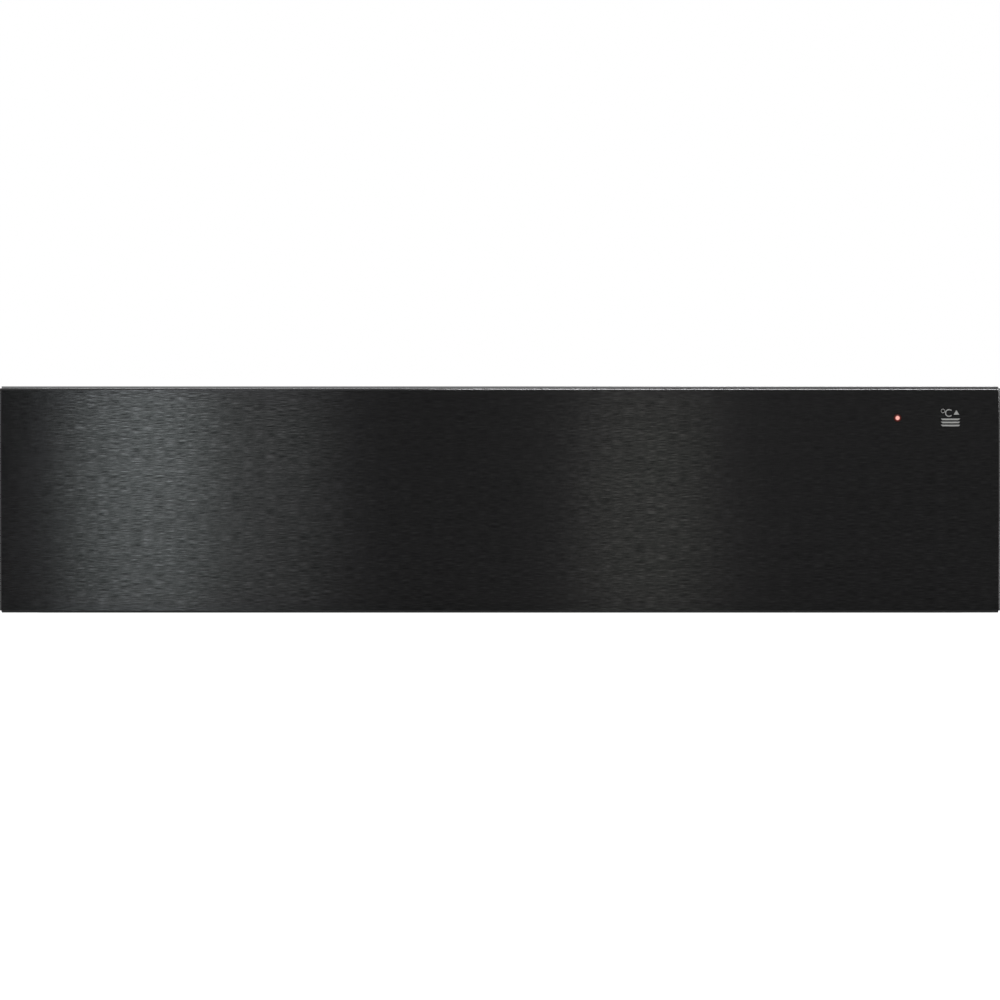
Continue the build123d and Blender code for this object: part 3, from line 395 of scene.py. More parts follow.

# %% [markdown]
# ### Black brushed steel
# The front is stainless steel under a thin black coat, brushed from side to side. Light spreads
# across the grain, up and down here, so the shader's tangent points up and its anisotropy is
# high: that turns the two tall lamps into full-height bands, as in the photograph. The tangent is
# high: that turns the tall lamps into full-height bands, as in the photograph. The tangent is
# the normal crossed with the brushing direction, so the grain turns over the folds with the sheet.
# Bright streaks are also smoother, so the grain shows in the bands and fades between them. On the
# bends the coat lies smooth, so they are glossier. Their colour is also lighter than the flats:
# a painted highlight along the folds.

# %% Black steel
def make_fold_mask():
    """1 on a bend between the front and its folded edges, 0 on the flats."""
    group, given, result = new_group("fold_mask", ("Fac",))
    split = node(group, "ShaderNodeSeparateXYZ")
    link(group, given.outputs["Vector"], split.inputs[0])
    facing = maths(group, "ABSOLUTE", split.outputs["Y"])
    leaving = ranged(group, facing, 0.9999, 0.996, 0, 1)
    arriving = ranged(group, facing, 0.05, 0.3, 0, 1)
    link(group, maths(group, "MULTIPLY", leaving, arriving), result.inputs["Fac"])
    return group


fold_group = make_fold_mask()


def black_steel():
    # The fold factor lightens the bends' colour: a painted highlight along the folds.
    colour, rough, streaks, fold_painted_highlight, fold_rough = (0.0202, 0.0202, 0.0204), 0.2, 0.14, 4.2, 0.13
    material, tree, shader = principled("black_steel", colour, rough, 1.0, Anisotropic=0.9)
    grain = use(tree, grain_group, stretched(tree, (150, 1500, 2900)), Contrast=4.2).outputs
    normal = node(tree, "ShaderNodeTexCoord").outputs["Normal"]
    across = vectors(tree, "CROSS_PRODUCT", normal, (1, 0, 0))
    link(tree, vectors(tree, "ADD", across, (0, 0, 0.01)), shader.inputs["Tangent"])
    fold = use(tree, fold_group, normal).outputs["Fac"]
    flat = maths(tree, "SUBTRACT", 1.0, fold)
    bump(tree, shader, maths(tree, "MULTIPLY", grain["Height"], flat), 0.02 * mm, 0.3)
    # On the bends the colour is raised: a painted highlight. Elsewhere it is the grain's own tone.
    tint(tree, shader, colour, ranged(tree, fold, 0, 1, grain["Shade"], fold_painted_highlight))
    uneven = ranged(tree, grain["Height"], 0, 1, rough + streaks, rough - streaks)
    link(tree, ranged(tree, fold, 0, 1, uneven, fold_rough), shader.inputs["Roughness"])
    return material


print("group", fold_group.name)

# %% Bare metals and moulded plastics
def brushed(name, colour, rough, scale, contrast, anisotropy, across=None):
    material, tree, shader = principled(name, colour, rough, 1.0, Anisotropic=anisotropy)
    grain = use(tree, grain_group, stretched(tree, scale), Contrast=contrast)
    tint(tree, shader, colour, grain.outputs["Shade"])
    wipe(tree, shader, rough, 0.16)
    bump(tree, shader, grain.outputs["Height"], 0.01 * mm, 0.3)
    if across:
        tangent = node(tree, "ShaderNodeCombineXYZ")
        feed(tree, tangent, dict(enumerate(across)))
        link(tree, tangent.outputs[0], shader.inputs["Tangent"])
    return material


def zinc_steel():
    colour = (0.52, 0.545, 0.56)
    material, tree, shader = principled("zinc_steel", colour, 0.5, 1.0)
    cells = use(tree, spangle_group, stretched(tree), Scale=190.0).outputs
    tint(tree, shader, colour, cells["Shade"])
    link(tree, ranged(tree, cells["Fac"], 0, 1, 0.43, 0.6), shader.inputs["Roughness"])
    bump(tree, shader, cells["Fac"], 0.01 * mm, 0.2)
    return material


def smooth_metal(name, colour, rough, amount=0.15):
    material, tree, shader = principled(name, colour, rough, 1.0)
    tint(tree, shader, colour, wipe(tree, shader, rough, amount))
    return material


def moulded(name, colour, rough, scale=1500.0, depth=0.02):
    material, tree, shader = principled(name, colour, rough)
    skin = use(tree, moulding_group, stretched(tree), Scale=scale)
    tint(tree, shader, colour, wipe(tree, shader, rough, 0.12))
    bump(tree, shader, skin.outputs["Height"], depth * mm, 0.5)
    return material


finishes = {
    "black_steel": black_steel(),
    "zinc_steel": zinc_steel(),
    "stainless": brushed("stainless", (0.62, 0.61, 0.59), 0.3, (90, 900, 900), 0.35, 0.5,
                         (0, 1, 0)),
    "slide_steel": brushed("slide_steel", (0.6, 0.61, 0.63), 0.28, (500, 60, 500), 0.2, 0.3),
    "bright_steel": smooth_metal("bright_steel", (0.72, 0.72, 0.73), 0.2),
    "element_steel": smooth_metal("element_steel", (0.26, 0.24, 0.22), 0.42, 0.5),
    "aluminium": smooth_metal("aluminium", (0.76, 0.77, 0.78), 0.32, 0.3),
    "black_plastic": moulded("black_plastic", (0.022, 0.022, 0.023), 0.48),
    "knob_plastic": moulded("knob_plastic", (0.035, 0.035, 0.037), 0.36, 2600.0, 0.01),
    "white_plastic": moulded("white_plastic", (0.78, 0.77, 0.72), 0.42, 2000.0, 0.01),
    "silicone": moulded("silicone", (0.055, 0.056, 0.06), 0.62, 3000.0, 0.02),
}
print("finishes", len(finishes))

# %% Copper, iron, wool and board
def banded(name, colour, rough, scale, depth, contrast):
    """Fine parallel lines: the turns of a coil or the edges of stacked sheets."""
    material, tree, shader = principled(name, colour, rough, 1.0)
    wave = node(tree, "ShaderNodeTexWave", bands_direction="Y")
    feed(tree, wave, {"Vector": stretched(tree), "Scale": scale, "Distortion": 0.4})
    lines = wave.outputs["Fac"]
    tint(tree, shader, colour, ranged(tree, lines, 0, 1, 1 - contrast, 1 + contrast / 2))
    bump(tree, shader, lines, depth * mm)
    return material


def mineral_wool():
    colour = (0.66, 0.58, 0.33)
    material, tree, shader = principled("mineral_wool", colour, 0.95)
    fibre = noise(tree, stretched(tree, (900, 250, 900)), 1.0, 5.0, 0.7)
    tint(tree, shader, colour, ranged(tree, fibre, 0.3, 0.7, 0.6, 1.15))
    bump(tree, shader, fibre, 0.6 * mm)
    return material


def circuit_board():
    green = (0.03, 0.16, 0.07)
    material, tree, shader = principled("circuit_board", green, 0.3, Coat_Weight=0.4)
    lines = node(tree, "ShaderNodeTexBrick")
    feed(tree, lines, {"Vector": stretched(tree, turn=(radians(90), 0, 0)), "Scale": 320.0,
                       "Color1": (*green, 1), "Color2": (0.025, 0.14, 0.06, 1),
                       "Mortar": (0.06, 0.26, 0.12, 1), "Mortar Size": 0.04})
    link(tree, lines.outputs["Color"], shader.inputs["Base Color"])
    return material


finishes["copper"] = banded("copper", (0.66, 0.33, 0.17), 0.3, 620.0, 0.15, 0.4)
finishes["iron"] = banded("iron", (0.2, 0.2, 0.21), 0.45, 630.0, 0.08, 0.5)
finishes["mineral_wool"] = mineral_wool()
finishes["circuit_board"] = circuit_board()
print("finishes", len(finishes))

# %% [markdown]
# ### The lit lens
# The red dot is the end of a clear light pipe with a small chip behind it. Seen head on, its
# middle is nearly white with light and its rim is a deep red. Distance from the pipe's own line
# drives a ramp, so the glow stays centred from wherever it is seen.

# %% Lens finish
def red_lens(glow_radius):
    low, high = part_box("light_lens")
    middle = (low + high) / 2
    material, tree, shader = principled("red_lens", (0.05, 0.003, 0.002), 0.3,
                                        Specular_IOR_Level=0.2)
    point = node(tree, "ShaderNodeTexCoord").outputs["Object"]
    away = vectors(tree, "SUBTRACT", point, (middle.x, 0, middle.z))
    length = vectors(tree, "LENGTH", vectors(tree, "MULTIPLY", away, (1, 0, 1)))
    ramp = node(tree, "ShaderNodeValToRGB")
    link(tree, ranged(tree, length, 0, glow_radius * mm, 0, 1), ramp.inputs["Fac"])
    stops = ramp.color_ramp.elements
    stops[0].color, stops[1].color = (1.0, 0.52, 0.44, 1), (0.025, 0.005, 0.003, 1)
    for share, colour in ((0.46, (1.0, 0.45, 0.4, 1)), (0.61, (0.035, 0.007, 0.004, 1))):
        stops.new(share).color = colour
    feed(tree, shader, {"Emission Color": ramp.outputs["Color"], "Emission Strength": 1.0})
    return material


finishes["red_lens"] = red_lens(2.3)
print("lens finish ready")

# %% [markdown]
# ## Pieces: two ways
# Some shapes are already right in the frame and only lack what the eye expects of a made thing:
# edges that catch light and smooth bends. Those are copied, their loose triangles merged, and
# their edges rounded a little. Others have detail that the frame leaves out, and are modelled.

# %% Shared piece helpers
modelled = set()


def make_piece(bm, name, cad_node, sharp=35, material=None, weigh=True, stays=False):
    """A piece with its node's body and slot. It replaces the node, unless the node stays."""
    body, slot, replaced = body_of[cad_node], slot_of[cad_node], () if stays else (cad_node,)
    mesh = mesh_of(bm, name)
    mesh.shade_smooth()
    mesh.set_sharp_from_angle(angle=radians(sharp))
    piece = show(name, mesh)
    mesh.materials.append(material or finishes[slot])
    if weigh:
        piece.modifiers.new("weigh", "WEIGHTED_NORMAL").keep_sharp = True
    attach(piece, body)
    if replaced:
        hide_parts(*replaced)
    modelled.update(replaced)
    return piece


def round_edges(piece, edge, angle):
    """Rounds, in mm, what is sharper than the angle. The normals are weighed after that."""
    rounding = piece.modifiers.new("round", "BEVEL")
    rounding.width, rounding.segments = edge * mm, 2
    rounding.limit_method, rounding.angle_limit = "ANGLE", radians(angle)
    piece.modifiers.move(0, len(piece.modifiers) - 1)


def dressed(cad_node, edge):
    """A node's own shape, its triangles joined to whole faces and its sharp edges rounded."""
    bm = bmesh.new()
    bm.from_mesh(frame["nodes"][cad_node].data)
    bmesh.ops.remove_doubles(bm, verts=bm.verts, dist=1e-6)
    bmesh.ops.dissolve_limit(bm, angle_limit=radians(0.5), verts=bm.verts, edges=bm.edges)
    piece = make_piece(bm, "dressed_" + cad_node, cad_node)
    if edge:
        round_edges(piece, edge, 38)


def tell(piece):
    print(piece.name, [round(v / mm, 1) for v in piece.dimensions], "mm")


print("piece helpers ready")

# %% [markdown]
# ### Round forms from a profile
# Lens, screws, rivets, knob and gland are all turned shapes. A profile of points, each a radius
# and a height, is spun once round the vertical line, its ends meeting on the axis or staying open
# for a bore. The result is turned to face the way the piece faces and moved to its place.

# %% Turned shapes
def wire(bm, points, closed=False):
    verts = [bm.verts.new(point) for point in points]
    pairs = list(zip(verts, verts[1:])) + ([(verts[-1], verts[0])] if closed else [])
    return verts + [bm.edges.new(pair) for pair in pairs]


def turned(bm, profile, steps=32, closed=False):
    """Spins (radius, height) points, in mm, round Z and returns the new vertices."""
    before = set(bm.verts)
    points = [(radius * mm, 0, height * mm) for radius, height in profile]
    bmesh.ops.spin(bm, geom=wire(bm, points, closed), cent=(0, 0, 0), axis=(0, 0, 1),
                   angle=2 * pi, steps=steps, use_merge=True)
    bmesh.ops.remove_doubles(bm, verts=bm.verts, dist=1e-7)
    return [v for v in bm.verts if v not in before]


towards = {
    "up": Matrix.Identity(4), "down": Matrix.Rotation(pi, 4, "X"),
    "front": Matrix.Rotation(radians(90), 4, "X"), "back": Matrix.Rotation(radians(-90), 4, "X"),
    "right": Matrix.Rotation(radians(90), 4, "Y"), "left": Matrix.Rotation(radians(-90), 4, "Y"),
}


def place(bm, verts, at, facing="up"):
    """Turns vertices made about Z to face a way, and moves them to a point given in metres."""
    bmesh.ops.transform(bm, matrix=Matrix.Translation(at) @ towards[facing], verts=verts)


def spot(x, depth, z):
    """A point from x and z in mm and the depth behind the front's face."""
    return Vector((x * mm, front_y + depth * mm, z * mm))


def outwards(bm):
    bmesh.ops.recalc_face_normals(bm, faces=bm.faces)


print("turning helpers ready")

# %% [markdown]
# ### Light pipe
# The lens is a turned rod of clear red plastic. Its seen end is very slightly domed and has a
# small radius, which is what puts the dark red ring round the lit middle.

# %% Light pipe
def make_lens():
    low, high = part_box("light_lens")
    middle = (low + high) / 2
    bm = bmesh.new()
    verts = turned(bm, [(0, 5.0), (1.2, 4.98), (1.9, 4.9), (2.15, 4.75), (2.2, 4.5), (2.2, 4.1),
                        (3.4, 4.1), (3.5, 4.0), (3.5, 3.1), (2.2, 3.1), (2.2, 0.1), (2.1, 0),
                        (0, 0)])
    place(bm, verts, (middle.x, high.y, middle.z), "front")
    outwards(bm)
    return make_piece(bm, "light_pipe", "light_lens")


tell(make_lens())

# %% [markdown]
# ### Printed symbol
# Screen-printed ink is a few hundredths of a millimetre thick, so each mark is a flat shape given
# that thickness. The heating symbol is degrees Celsius, a triangle for more, and a stack of three
# plates. The letter is text turned into a mesh; the ring is a circle with an inset; the triangle
# is a circle of three points; each plate is a square pulled into a trapezium.

# %% Ink
def ink(name, colour):
    material, tree, shader = principled(name, colour, 0.55)
    dots = noise(tree, stretched(tree), 2500.0)
    tint(tree, shader, colour, ranged(tree, dots, 0.3, 0.7, 0.94, 1.03))
    return material


grey_ink = ink("grey_ink", (0.31, 0.31, 0.3))
white_ink = ink("white_ink", (0.72, 0.72, 0.7))
ink_thickness = 0.03
print("inks", grey_ink.name, white_ink.name)

# %% Flat marks
def printed(bm, name, cad_node, material):
    """A mark that rides on a node, which stays."""
    return make_piece(bm, name, cad_node, material=material, weigh=False, stays=True)


def shift(bm, verts, x=0, y=0, z=0):
    """Moves vertices, in mm."""
    bmesh.ops.translate(bm, vec=(x * mm, y * mm, z * mm), verts=verts)


def verts_in(geom):
    return [g for g in geom if isinstance(g, bmesh.types.BMVert)]


def letter(text, height, width=None):
    """Text as a flat mesh in XY, centred, this high in mm and as wide as it comes or as given."""
    curve = bpy.data.curves.new("letters", "FONT")
    curve.body, curve.align_x = text, "CENTER"
    made = show("letters", curve)
    shown = made.evaluated_get(bpy.context.evaluated_depsgraph_get())
    mesh = bpy.data.meshes.new_from_object(shown)
    bpy.data.objects.remove(made)
    bm = bmesh.new()
    bm.from_mesh(mesh)
    bpy.data.meshes.remove(mesh)
    bmesh.ops.remove_doubles(bm, verts=bm.verts, dist=1e-5)
    bmesh.ops.dissolve_limit(bm, angle_limit=radians(1), verts=bm.verts, edges=bm.edges)
    low_x, high_x = min(v.co.x for v in bm.verts), max(v.co.x for v in bm.verts)
    low_y, high_y = min(v.co.y for v in bm.verts), max(v.co.y for v in bm.verts)
    bmesh.ops.translate(bm, vec=(-(low_x + high_x) / 2, -(low_y + high_y) / 2, 0), verts=bm.verts)
    tall = height * mm / (high_y - low_y)
    wide = width * mm / (high_x - low_x) if width else tall
    bmesh.ops.scale(bm, vec=(wide, tall, 1), verts=bm.verts)
    return bm


def thicken(bm, amount=ink_thickness):
    """Gives a flat XY shape its thickness, upwards."""
    up = bmesh.ops.extrude_face_region(bm, geom=bm.faces[:], use_keep_orig=True)
    shift(bm, verts_in(up["geom"]), z=amount)
    outwards(bm)


def join(bm, other):
    """Adds another bmesh's shape to this one."""
    mesh = mesh_of(other, "part")
    bm.from_mesh(mesh)
    bpy.data.meshes.remove(mesh)


def flat_ring(radius, width):
    """A ring in XY, in mm, its width taken inwards."""
    ring = bmesh.new()
    bmesh.ops.create_circle(ring, cap_ends=True, segments=28, radius=radius * mm)
    rim = bmesh.ops.inset_region(ring, faces=ring.faces[:], thickness=width * mm,
                                 use_boundary=True, use_even_offset=True)["faces"]
    bmesh.ops.delete(ring, geom=[f for f in ring.faces if f not in rim], context="FACES")
    return ring


print("mark helpers ready")

# %% Heating symbol
def symbol_shape():
    """The symbol drawn flat, X right and Y up, in metres from its own middle."""
    bm = letter("C", 4.5, 3.85)
    shift(bm, bm.verts, -1.35, 3.2)
    ring = flat_ring(1.24, 0.3)
    shift(ring, ring.verts, -4.5, 4.42)
    join(bm, ring)
    more = bmesh.new()
    bmesh.ops.create_circle(more, cap_ends=True, segments=3, radius=1.0 * mm)
    base = min(v.co.y for v in more.verts)
    bmesh.ops.translate(more, vec=(0, -base, 0), verts=more.verts)
    half_width, height = 0.866, 1.5  # of a triangle of three points on a circle of radius 1
    bmesh.ops.scale(more, vec=(1.7 / half_width, 2.7 / height, 1), verts=more.verts)
    shift(more, more.verts, 3.5, 2.2)
    join(bm, more)
    for top in (-0.1, -1.94, -3.78):
        plate = bmesh.new()
        bmesh.ops.create_grid(plate, x_segments=1, y_segments=1, size=1.0)
        for vert in plate.verts:
            vert.co.x *= (5.82 if vert.co.y > 0 else 4.8) * mm
            vert.co.y = (top if vert.co.y > 0 else top - 0.98) * mm
        join(bm, plate)
    return bm


def make_symbol():
    bm = symbol_shape()
    thicken(bm)
    place(bm, bm.verts, spot(268.75, 0, 116.4), "front")
    return printed(bm, "heating_symbol", "front_panel", grey_ink)


tell(make_symbol())

# %% [markdown]
# ## Sheet metal with openings
# A pressed plate starts as closed loops in one plane: its outline, and a loop for each slot. One
# fill makes the sheet between them. A slot is a circle whose halves are drawn apart, so its ends
# stay round, as a punch leaves them. A rib is a slot's loop pulled down and in by a few steps.

# %% Slots and outlines
def slot_loop(bm, x, y, length, width, upright=False, steps=14):
    """A closed loop with round ends, in mm, in the XY plane."""
    turn = Matrix.Rotation(pi / steps, 4, "Z")
    made = bmesh.ops.create_circle(bm, segments=steps, radius=width / 2 * mm, matrix=turn)["verts"]
    bmesh.ops.scale(bm, vec=(1, 1 / cos(pi / steps), 1), verts=made)
    for side in (1, -1):
        shift(bm, [v for v in made if v.co.x * side > 0], side * (length - width) / 2)
    if upright:
        quarter = Matrix.Rotation(radians(90), 3, "Z")
        bmesh.ops.rotate(bm, cent=(0, 0, 0), matrix=quarter, verts=made)
    shift(bm, made, x, y)
    return made


def soften(bm, geom, radius, steps, affect="EDGES"):
    """Rounds edges, or the corners of a flat shape, by a radius in mm."""
    bmesh.ops.bevel(bm, geom=geom, offset=radius * mm, segments=steps, profile=0.5, affect=affect,
                    material=-1)


def sheet_outline(bm, width, height, corner=0.0, steps=5):
    """The loop round a rectangle, centred, with round corners if asked for."""
    made = bmesh.ops.create_grid(bm, x_segments=1, y_segments=1, size=0.5)["verts"]
    bmesh.ops.scale(bm, vec=(width * mm, height * mm, 1), verts=made)
    if corner:
        soften(bm, made, corner, steps, "VERTICES")
    bmesh.ops.delete(bm, geom=bm.faces[:], context="FACES_ONLY")
    return bm.edges[:]


def face_up(bm):
    """Turns a shape inside out if more of it faces down than up."""
    if sum(face.normal.z * face.calc_area() for face in bm.faces) < 0:
        bmesh.ops.reverse_faces(bm, faces=bm.faces)


def fill_sheet(bm):
    bmesh.ops.triangle_fill(bm, use_beauty=True, edges=bm.edges[:])
    face_up(bm)


print("outline helpers ready")

# %% Walls and thickness
def edges_in(geom):
    return [g for g in geom if isinstance(g, bmesh.types.BMEdge)]


def edges_among(edges, verts):
    """The edges that have both ends among these vertices."""
    inside = set(verts)
    return [e for e in edges if inside.issuperset(e.verts)]


def pull(bm, edges):
    """Extrudes edges and returns the new vertices and the new rim."""
    made = bmesh.ops.extrude_edge_only(bm, edges=edges)["geom"]
    verts = verts_in(made)
    return verts, edges_among(edges_in(made), verts)


sheet_thickness = 1.0


def sheet_piece(bm, name, cad_node, edge=0.15):
    """A sheet, its thickness below its drawn surface, with its rims a little rounded."""
    piece = make_piece(bm, name, cad_node)
    wall = piece.modifiers.new("wall", "SOLIDIFY")
    wall.thickness, wall.offset, wall.use_even_offset = sheet_thickness * mm, -1, True
    round_edges(piece, edge, 50)
    return piece


print("sheets are", sheet_thickness, "mm thick")

# %% [markdown]
# ### Top cover and base pan
# Large thin panels drum and bend, so two long ribs are pressed into each. The real rib has a soft
# shoulder and floor, not a cut edge. Its loop is drawn down in five steps that follow an S, and
# then closed. The base is the same sheet turned over.

# %% Cover and base
shell_width, shell_length, shell_height, shell_middle = 556, 519.0, 134, 284.5
rib_length, rib_radius = 380, 6.5
rib_steps = ((0.5, 0.1), (1.1, 0.3), (1.7, 0.5), (2.3, 0.4), (3.0, 0.2))


def ribbed_sheet(screws):
    """Each step of a rib is an inset from its outline and a drop from the step before."""
    bm = bmesh.new()
    sheet_outline(bm, shell_width, shell_length)
    ribs = [(x, slot_loop(bm, x, 0, rib_length, 2 * rib_radius, True, 18)) for x in (-85, 85)]
    for x, y in screws:
        slot_loop(bm, x, y, 6.9, 6.9)
    loops = [(x, edges_among(bm.edges, loop)) for x, loop in ribs]
    fill_sheet(bm)
    for x, rim in loops:
        radius = rib_radius
        for inset, drop in rib_steps:
            verts, rim = pull(bm, rim)
            factor = (rib_radius - inset) / radius
            radius = rib_radius - inset
            for side in (1, -1):
                end = Vector((x * mm, side * (rib_length / 2 - rib_radius) * mm, 0))
                bmesh.ops.scale(bm, vec=(factor, factor, 1), space=Matrix.Translation(-end),
                                verts=[v for v in verts if v.co.y * side > 0])
            shift(bm, verts, z=-drop)
        bmesh.ops.edgeloop_fill(bm, edges=rim)
    return bm


def make_cover():
    cover = ribbed_sheet([(side * 272, step) for side in (-1, 1) for step in (-210, 0, 210)])
    place(cover, cover.verts, spot(0, shell_middle, shell_height))
    face_up(cover)
    return sheet_piece(cover, "cover_sheet", "top_cover")


def make_base():
    base = ribbed_sheet([])
    place(base, base.verts, spot(0, shell_middle, 0), "down")
    return sheet_piece(base, "base_sheet", "base_pan")


tell(make_cover())
tell(make_base())

# %% [markdown]
# ### Rear panel
# Two columns of six slots let air into the fan motor's space. They are punched, so they have
# round ends and the sheet stays flat round them. The cable entry's hole is in the same plate.

# %% Rear panel
rear_depth, entry_x, entry_z, vents_z = 545, -220, 32, 88


def make_rear():
    bm = bmesh.new()
    sheet_outline(bm, shell_width, shell_height)
    middle_z = shell_height / 2
    for side in (-1, 1):
        for step in range(6):
            slot_loop(bm, side * 120, vents_z - middle_z + (step - 2.5) * 9, 70, 3)
    slot_loop(bm, entry_x, entry_z - middle_z, 16.1, 16.1, steps=30)
    fill_sheet(bm)
    thicken(bm, sheet_thickness)
    place(bm, bm.verts, spot(0, rear_depth, middle_z), "front")
    outwards(bm)
    return make_piece(bm, "rear_sheet", "rear_panel")


tell(make_rear())

# %% [markdown]
# ### Air grille
# Warm air leaves by the outer slots and is drawn back by the round group in the middle. The form
# is a shallow tray pressed forward from a flat flange, with generous bends. The slotted face is
# filled first, its outline is pulled back into the wall and out into the flange, and both bends
# are bevelled before the sheet gets its thickness.

# %% Grille
tray_middle = 63.5  # the height that the tray's front and the heater share


def make_grille():
    bm = bmesh.new()
    front_fold = sheet_outline(bm, 236, 91, 7.0, 6)
    slot_width, round_radius, wall, side_flange, end_flange = 3.4, 33, 4, 9, 5
    for step in range(9):
        x = (step - 4) * 2 * round_radius / 9
        slot_loop(bm, x, 0, 2 * sqrt(round_radius ** 2 - x ** 2), slot_width, True)
    for step in range(6):
        for side in (-1, 1):
            slot_loop(bm, side * (56 + 9 * step), 0, 62, slot_width, True)
    fill_sheet(bm)
    verts, wall_fold = pull(bm, front_fold)
    shift(bm, verts, z=-wall)
    for vert in pull(bm, wall_fold)[0]:
        vert.co.x += copysign(side_flange * mm, vert.co.x)
        vert.co.y += copysign(end_flange * mm, vert.co.y)
    soften(bm, front_fold, 1.3, 4)
    soften(bm, [e for e in wall_fold if e.is_valid], 0.9, 3)
    outwards(bm)
    face_up(bm)
    place(bm, bm.verts, spot(0, 435, tray_middle), "front")
    return sheet_piece(bm, "air_grille", "heater_grille", 0.12)


tell(make_grille())

# %% [markdown]
# ## Screws and rivets
# One function makes each screw: a turned head and shank, whose open top ring of 24 points is
# pushed into a cross and drawn down, as the driver's recess. Rivets are turned from one profile.

# %% Screws
slide_x, slide_z = 277, 50  # where the housing's side meets a slide, and the slide's middle height


def add_screw(bm, at, facing, head, high, shank, length, sunk=False):
    """Head radius and height, shank radius and length, all in mm, the head's seat at the point."""
    mouth = head * 0.52
    if sunk:
        top = [(head, -0.12), (head * 0.94, 0), (mouth, -0.04)]
    else:
        top = [(head, 0.05), (head, high * 0.4), (head * 0.93, high * 0.72),
               (head * 0.75, high * 0.93), (mouth, high)]
    seat = (shank, -high if sunk else 0)
    shaft = [(0, -length), (shank * 0.7, -length), (shank, -length + 0.5), seat]
    verts = turned(bm, shaft + top, 24)
    crest = top[-1][1] * mm
    ring = [v for v in verts
            if abs(v.co.z - crest) < 1e-6 and abs(v.co.xy.length - mouth * mm) < 1e-6]
    lower, rim = pull(bm, edges_among(bm.edges, ring))
    for vert in lower:
        turn = vert.co.xy.angle_signed(Vector((1, 0)))
        arm = abs((turn + pi / 4) % (pi / 2) - pi / 4) < radians(9)
        vert.co.xy *= 0.97 if arm else 0.4
        vert.co.z -= 0.05 * mm
    floor, rim = pull(bm, rim)
    bmesh.ops.scale(bm, vec=(0.62, 0.62, 1), verts=floor)
    shift(bm, floor, z=-head * 0.32)
    bmesh.ops.edgeloop_fill(bm, edges=rim)
    place(bm, verts + lower + floor, at, facing)


def screw_piece(name, cad_node, places, *sizes, **more):
    bm = bmesh.new()
    for at, facing in places:
        add_screw(bm, at, facing, *sizes, **more)
    outwards(bm)
    tell(make_piece(bm, name, cad_node, weigh=False))


print("screw helpers ready")

# %% Fixings in their places
def make_rivets():
    profile = [(0, 0), (3.4, 0), (2.0, 1.0), (2.0, 2.2), (3.15, 2.2), (3.2, 2.45), (3.0, 2.75),
               (2.3, 2.93), (1.2, 3.0), (0.9, 2.8), (0, 2.75)]
    bm = bmesh.new()
    for side, facing in ((1, "right"), (-1, "left")):
        for depth in (81, 251, 421):
            place(bm, turned(bm, profile, 24), spot(side * 275.8, depth, slide_z), facing)
    outwards(bm)
    return make_piece(bm, "slide_fixings", "slide_rivets")


screw_piece("tray_fixings", "tray_screws",
            [(spot(side * 263.3, depth, slide_z), facing)
             for side, facing in ((1, "left"), (-1, "right")) for depth in (91, 251, 411)],
            3.6, 1.8, 2.0, 3.7)
screw_piece("front_fixings", "front_screws",
            [(spot(x, 21, tray_middle + z), "back") for x in (-118, 118) for z in (-35, 35)],
            3.6, 1.8, 2.0, 3.3)
screw_piece("grille_fixings", "grille_screws",
            [(spot(x, 439, tray_middle + z), "front") for x in (-122.5, 122.5) for z in (-31, 31)],
            3.6, 1.8, 2.0, 3.5)
screw_piece("cover_fixings", "cover_screws",
            [(spot(x, shell_middle + step, shell_height), "up")
             for x in (-272, 272) for step in (-210, 0, 210)],
            3.4, 1.0, 1.8, 6.0, sunk=True)
tell(make_rivets())

# %% [markdown]
# ### Ball cages
# Each cage is a thin folded channel that carries the balls in two rows. The channel is a line of
# four points drawn out lengthways, bevelled at its folds and given its thickness by a modifier.
# The balls are small icospheres, a few dozen faces each, since there are many.

# %% Cages
def make_cage(name, side, web, tip, row, row_half):
    """Web, lips and balls are so far in from the slide's outer face, and the rows so far apart."""
    bm = bmesh.new()
    low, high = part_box(name)
    line = [(tip, -row_half), (web, -row_half), (web, row_half), (tip, row_half)]
    points = [(side * (slide_x - inwards) * mm, low.y, (slide_z + z) * mm) for inwards, z in line]
    verts, _ = pull(bm, edges_in(wire(bm, points)))
    bmesh.ops.translate(bm, vec=(0, high.y - low.y, 0), verts=verts)
    soften(bm, [e for e in bm.edges if len(e.link_faces) == 2], 0.6, 3)
    bmesh.ops.solidify(bm, geom=bm.faces[:], thickness=0.3 * mm)
    x, middle, pitch = side * (slide_x - row) * mm, (low.y + high.y) / 2, 21.25
    for step in range(-4, 5):
        for z in (-row_half, row_half):
            at = Matrix.Translation((x, middle + step * pitch * mm, (slide_z + z) * mm))
            bmesh.ops.create_icosphere(bm, subdivisions=2, radius=1.99 * mm, matrix=at)
    outwards(bm)
    return make_piece(bm, name + "_with_balls", name, 50)


for side, suffix in ((-1, "_left"), (1, "_right")):
    tell(make_cage("outer_ball_cage" + suffix, side, 1.85, 9.2, 5.975, 19.5))
    tell(make_cage("inner_ball_cage" + suffix, side, 4.35, 9.1, 7.175, 14.2))

# %% [markdown]
# ## The heater and the cable entry
# The ring element is one round rod. A circle of points is spun three quarters of a turn, and each
# end is spun a quarter turn more about its own bend and drawn back through the box. The cable
# entry is turned, with a soft outer edge and a chamfered bore.

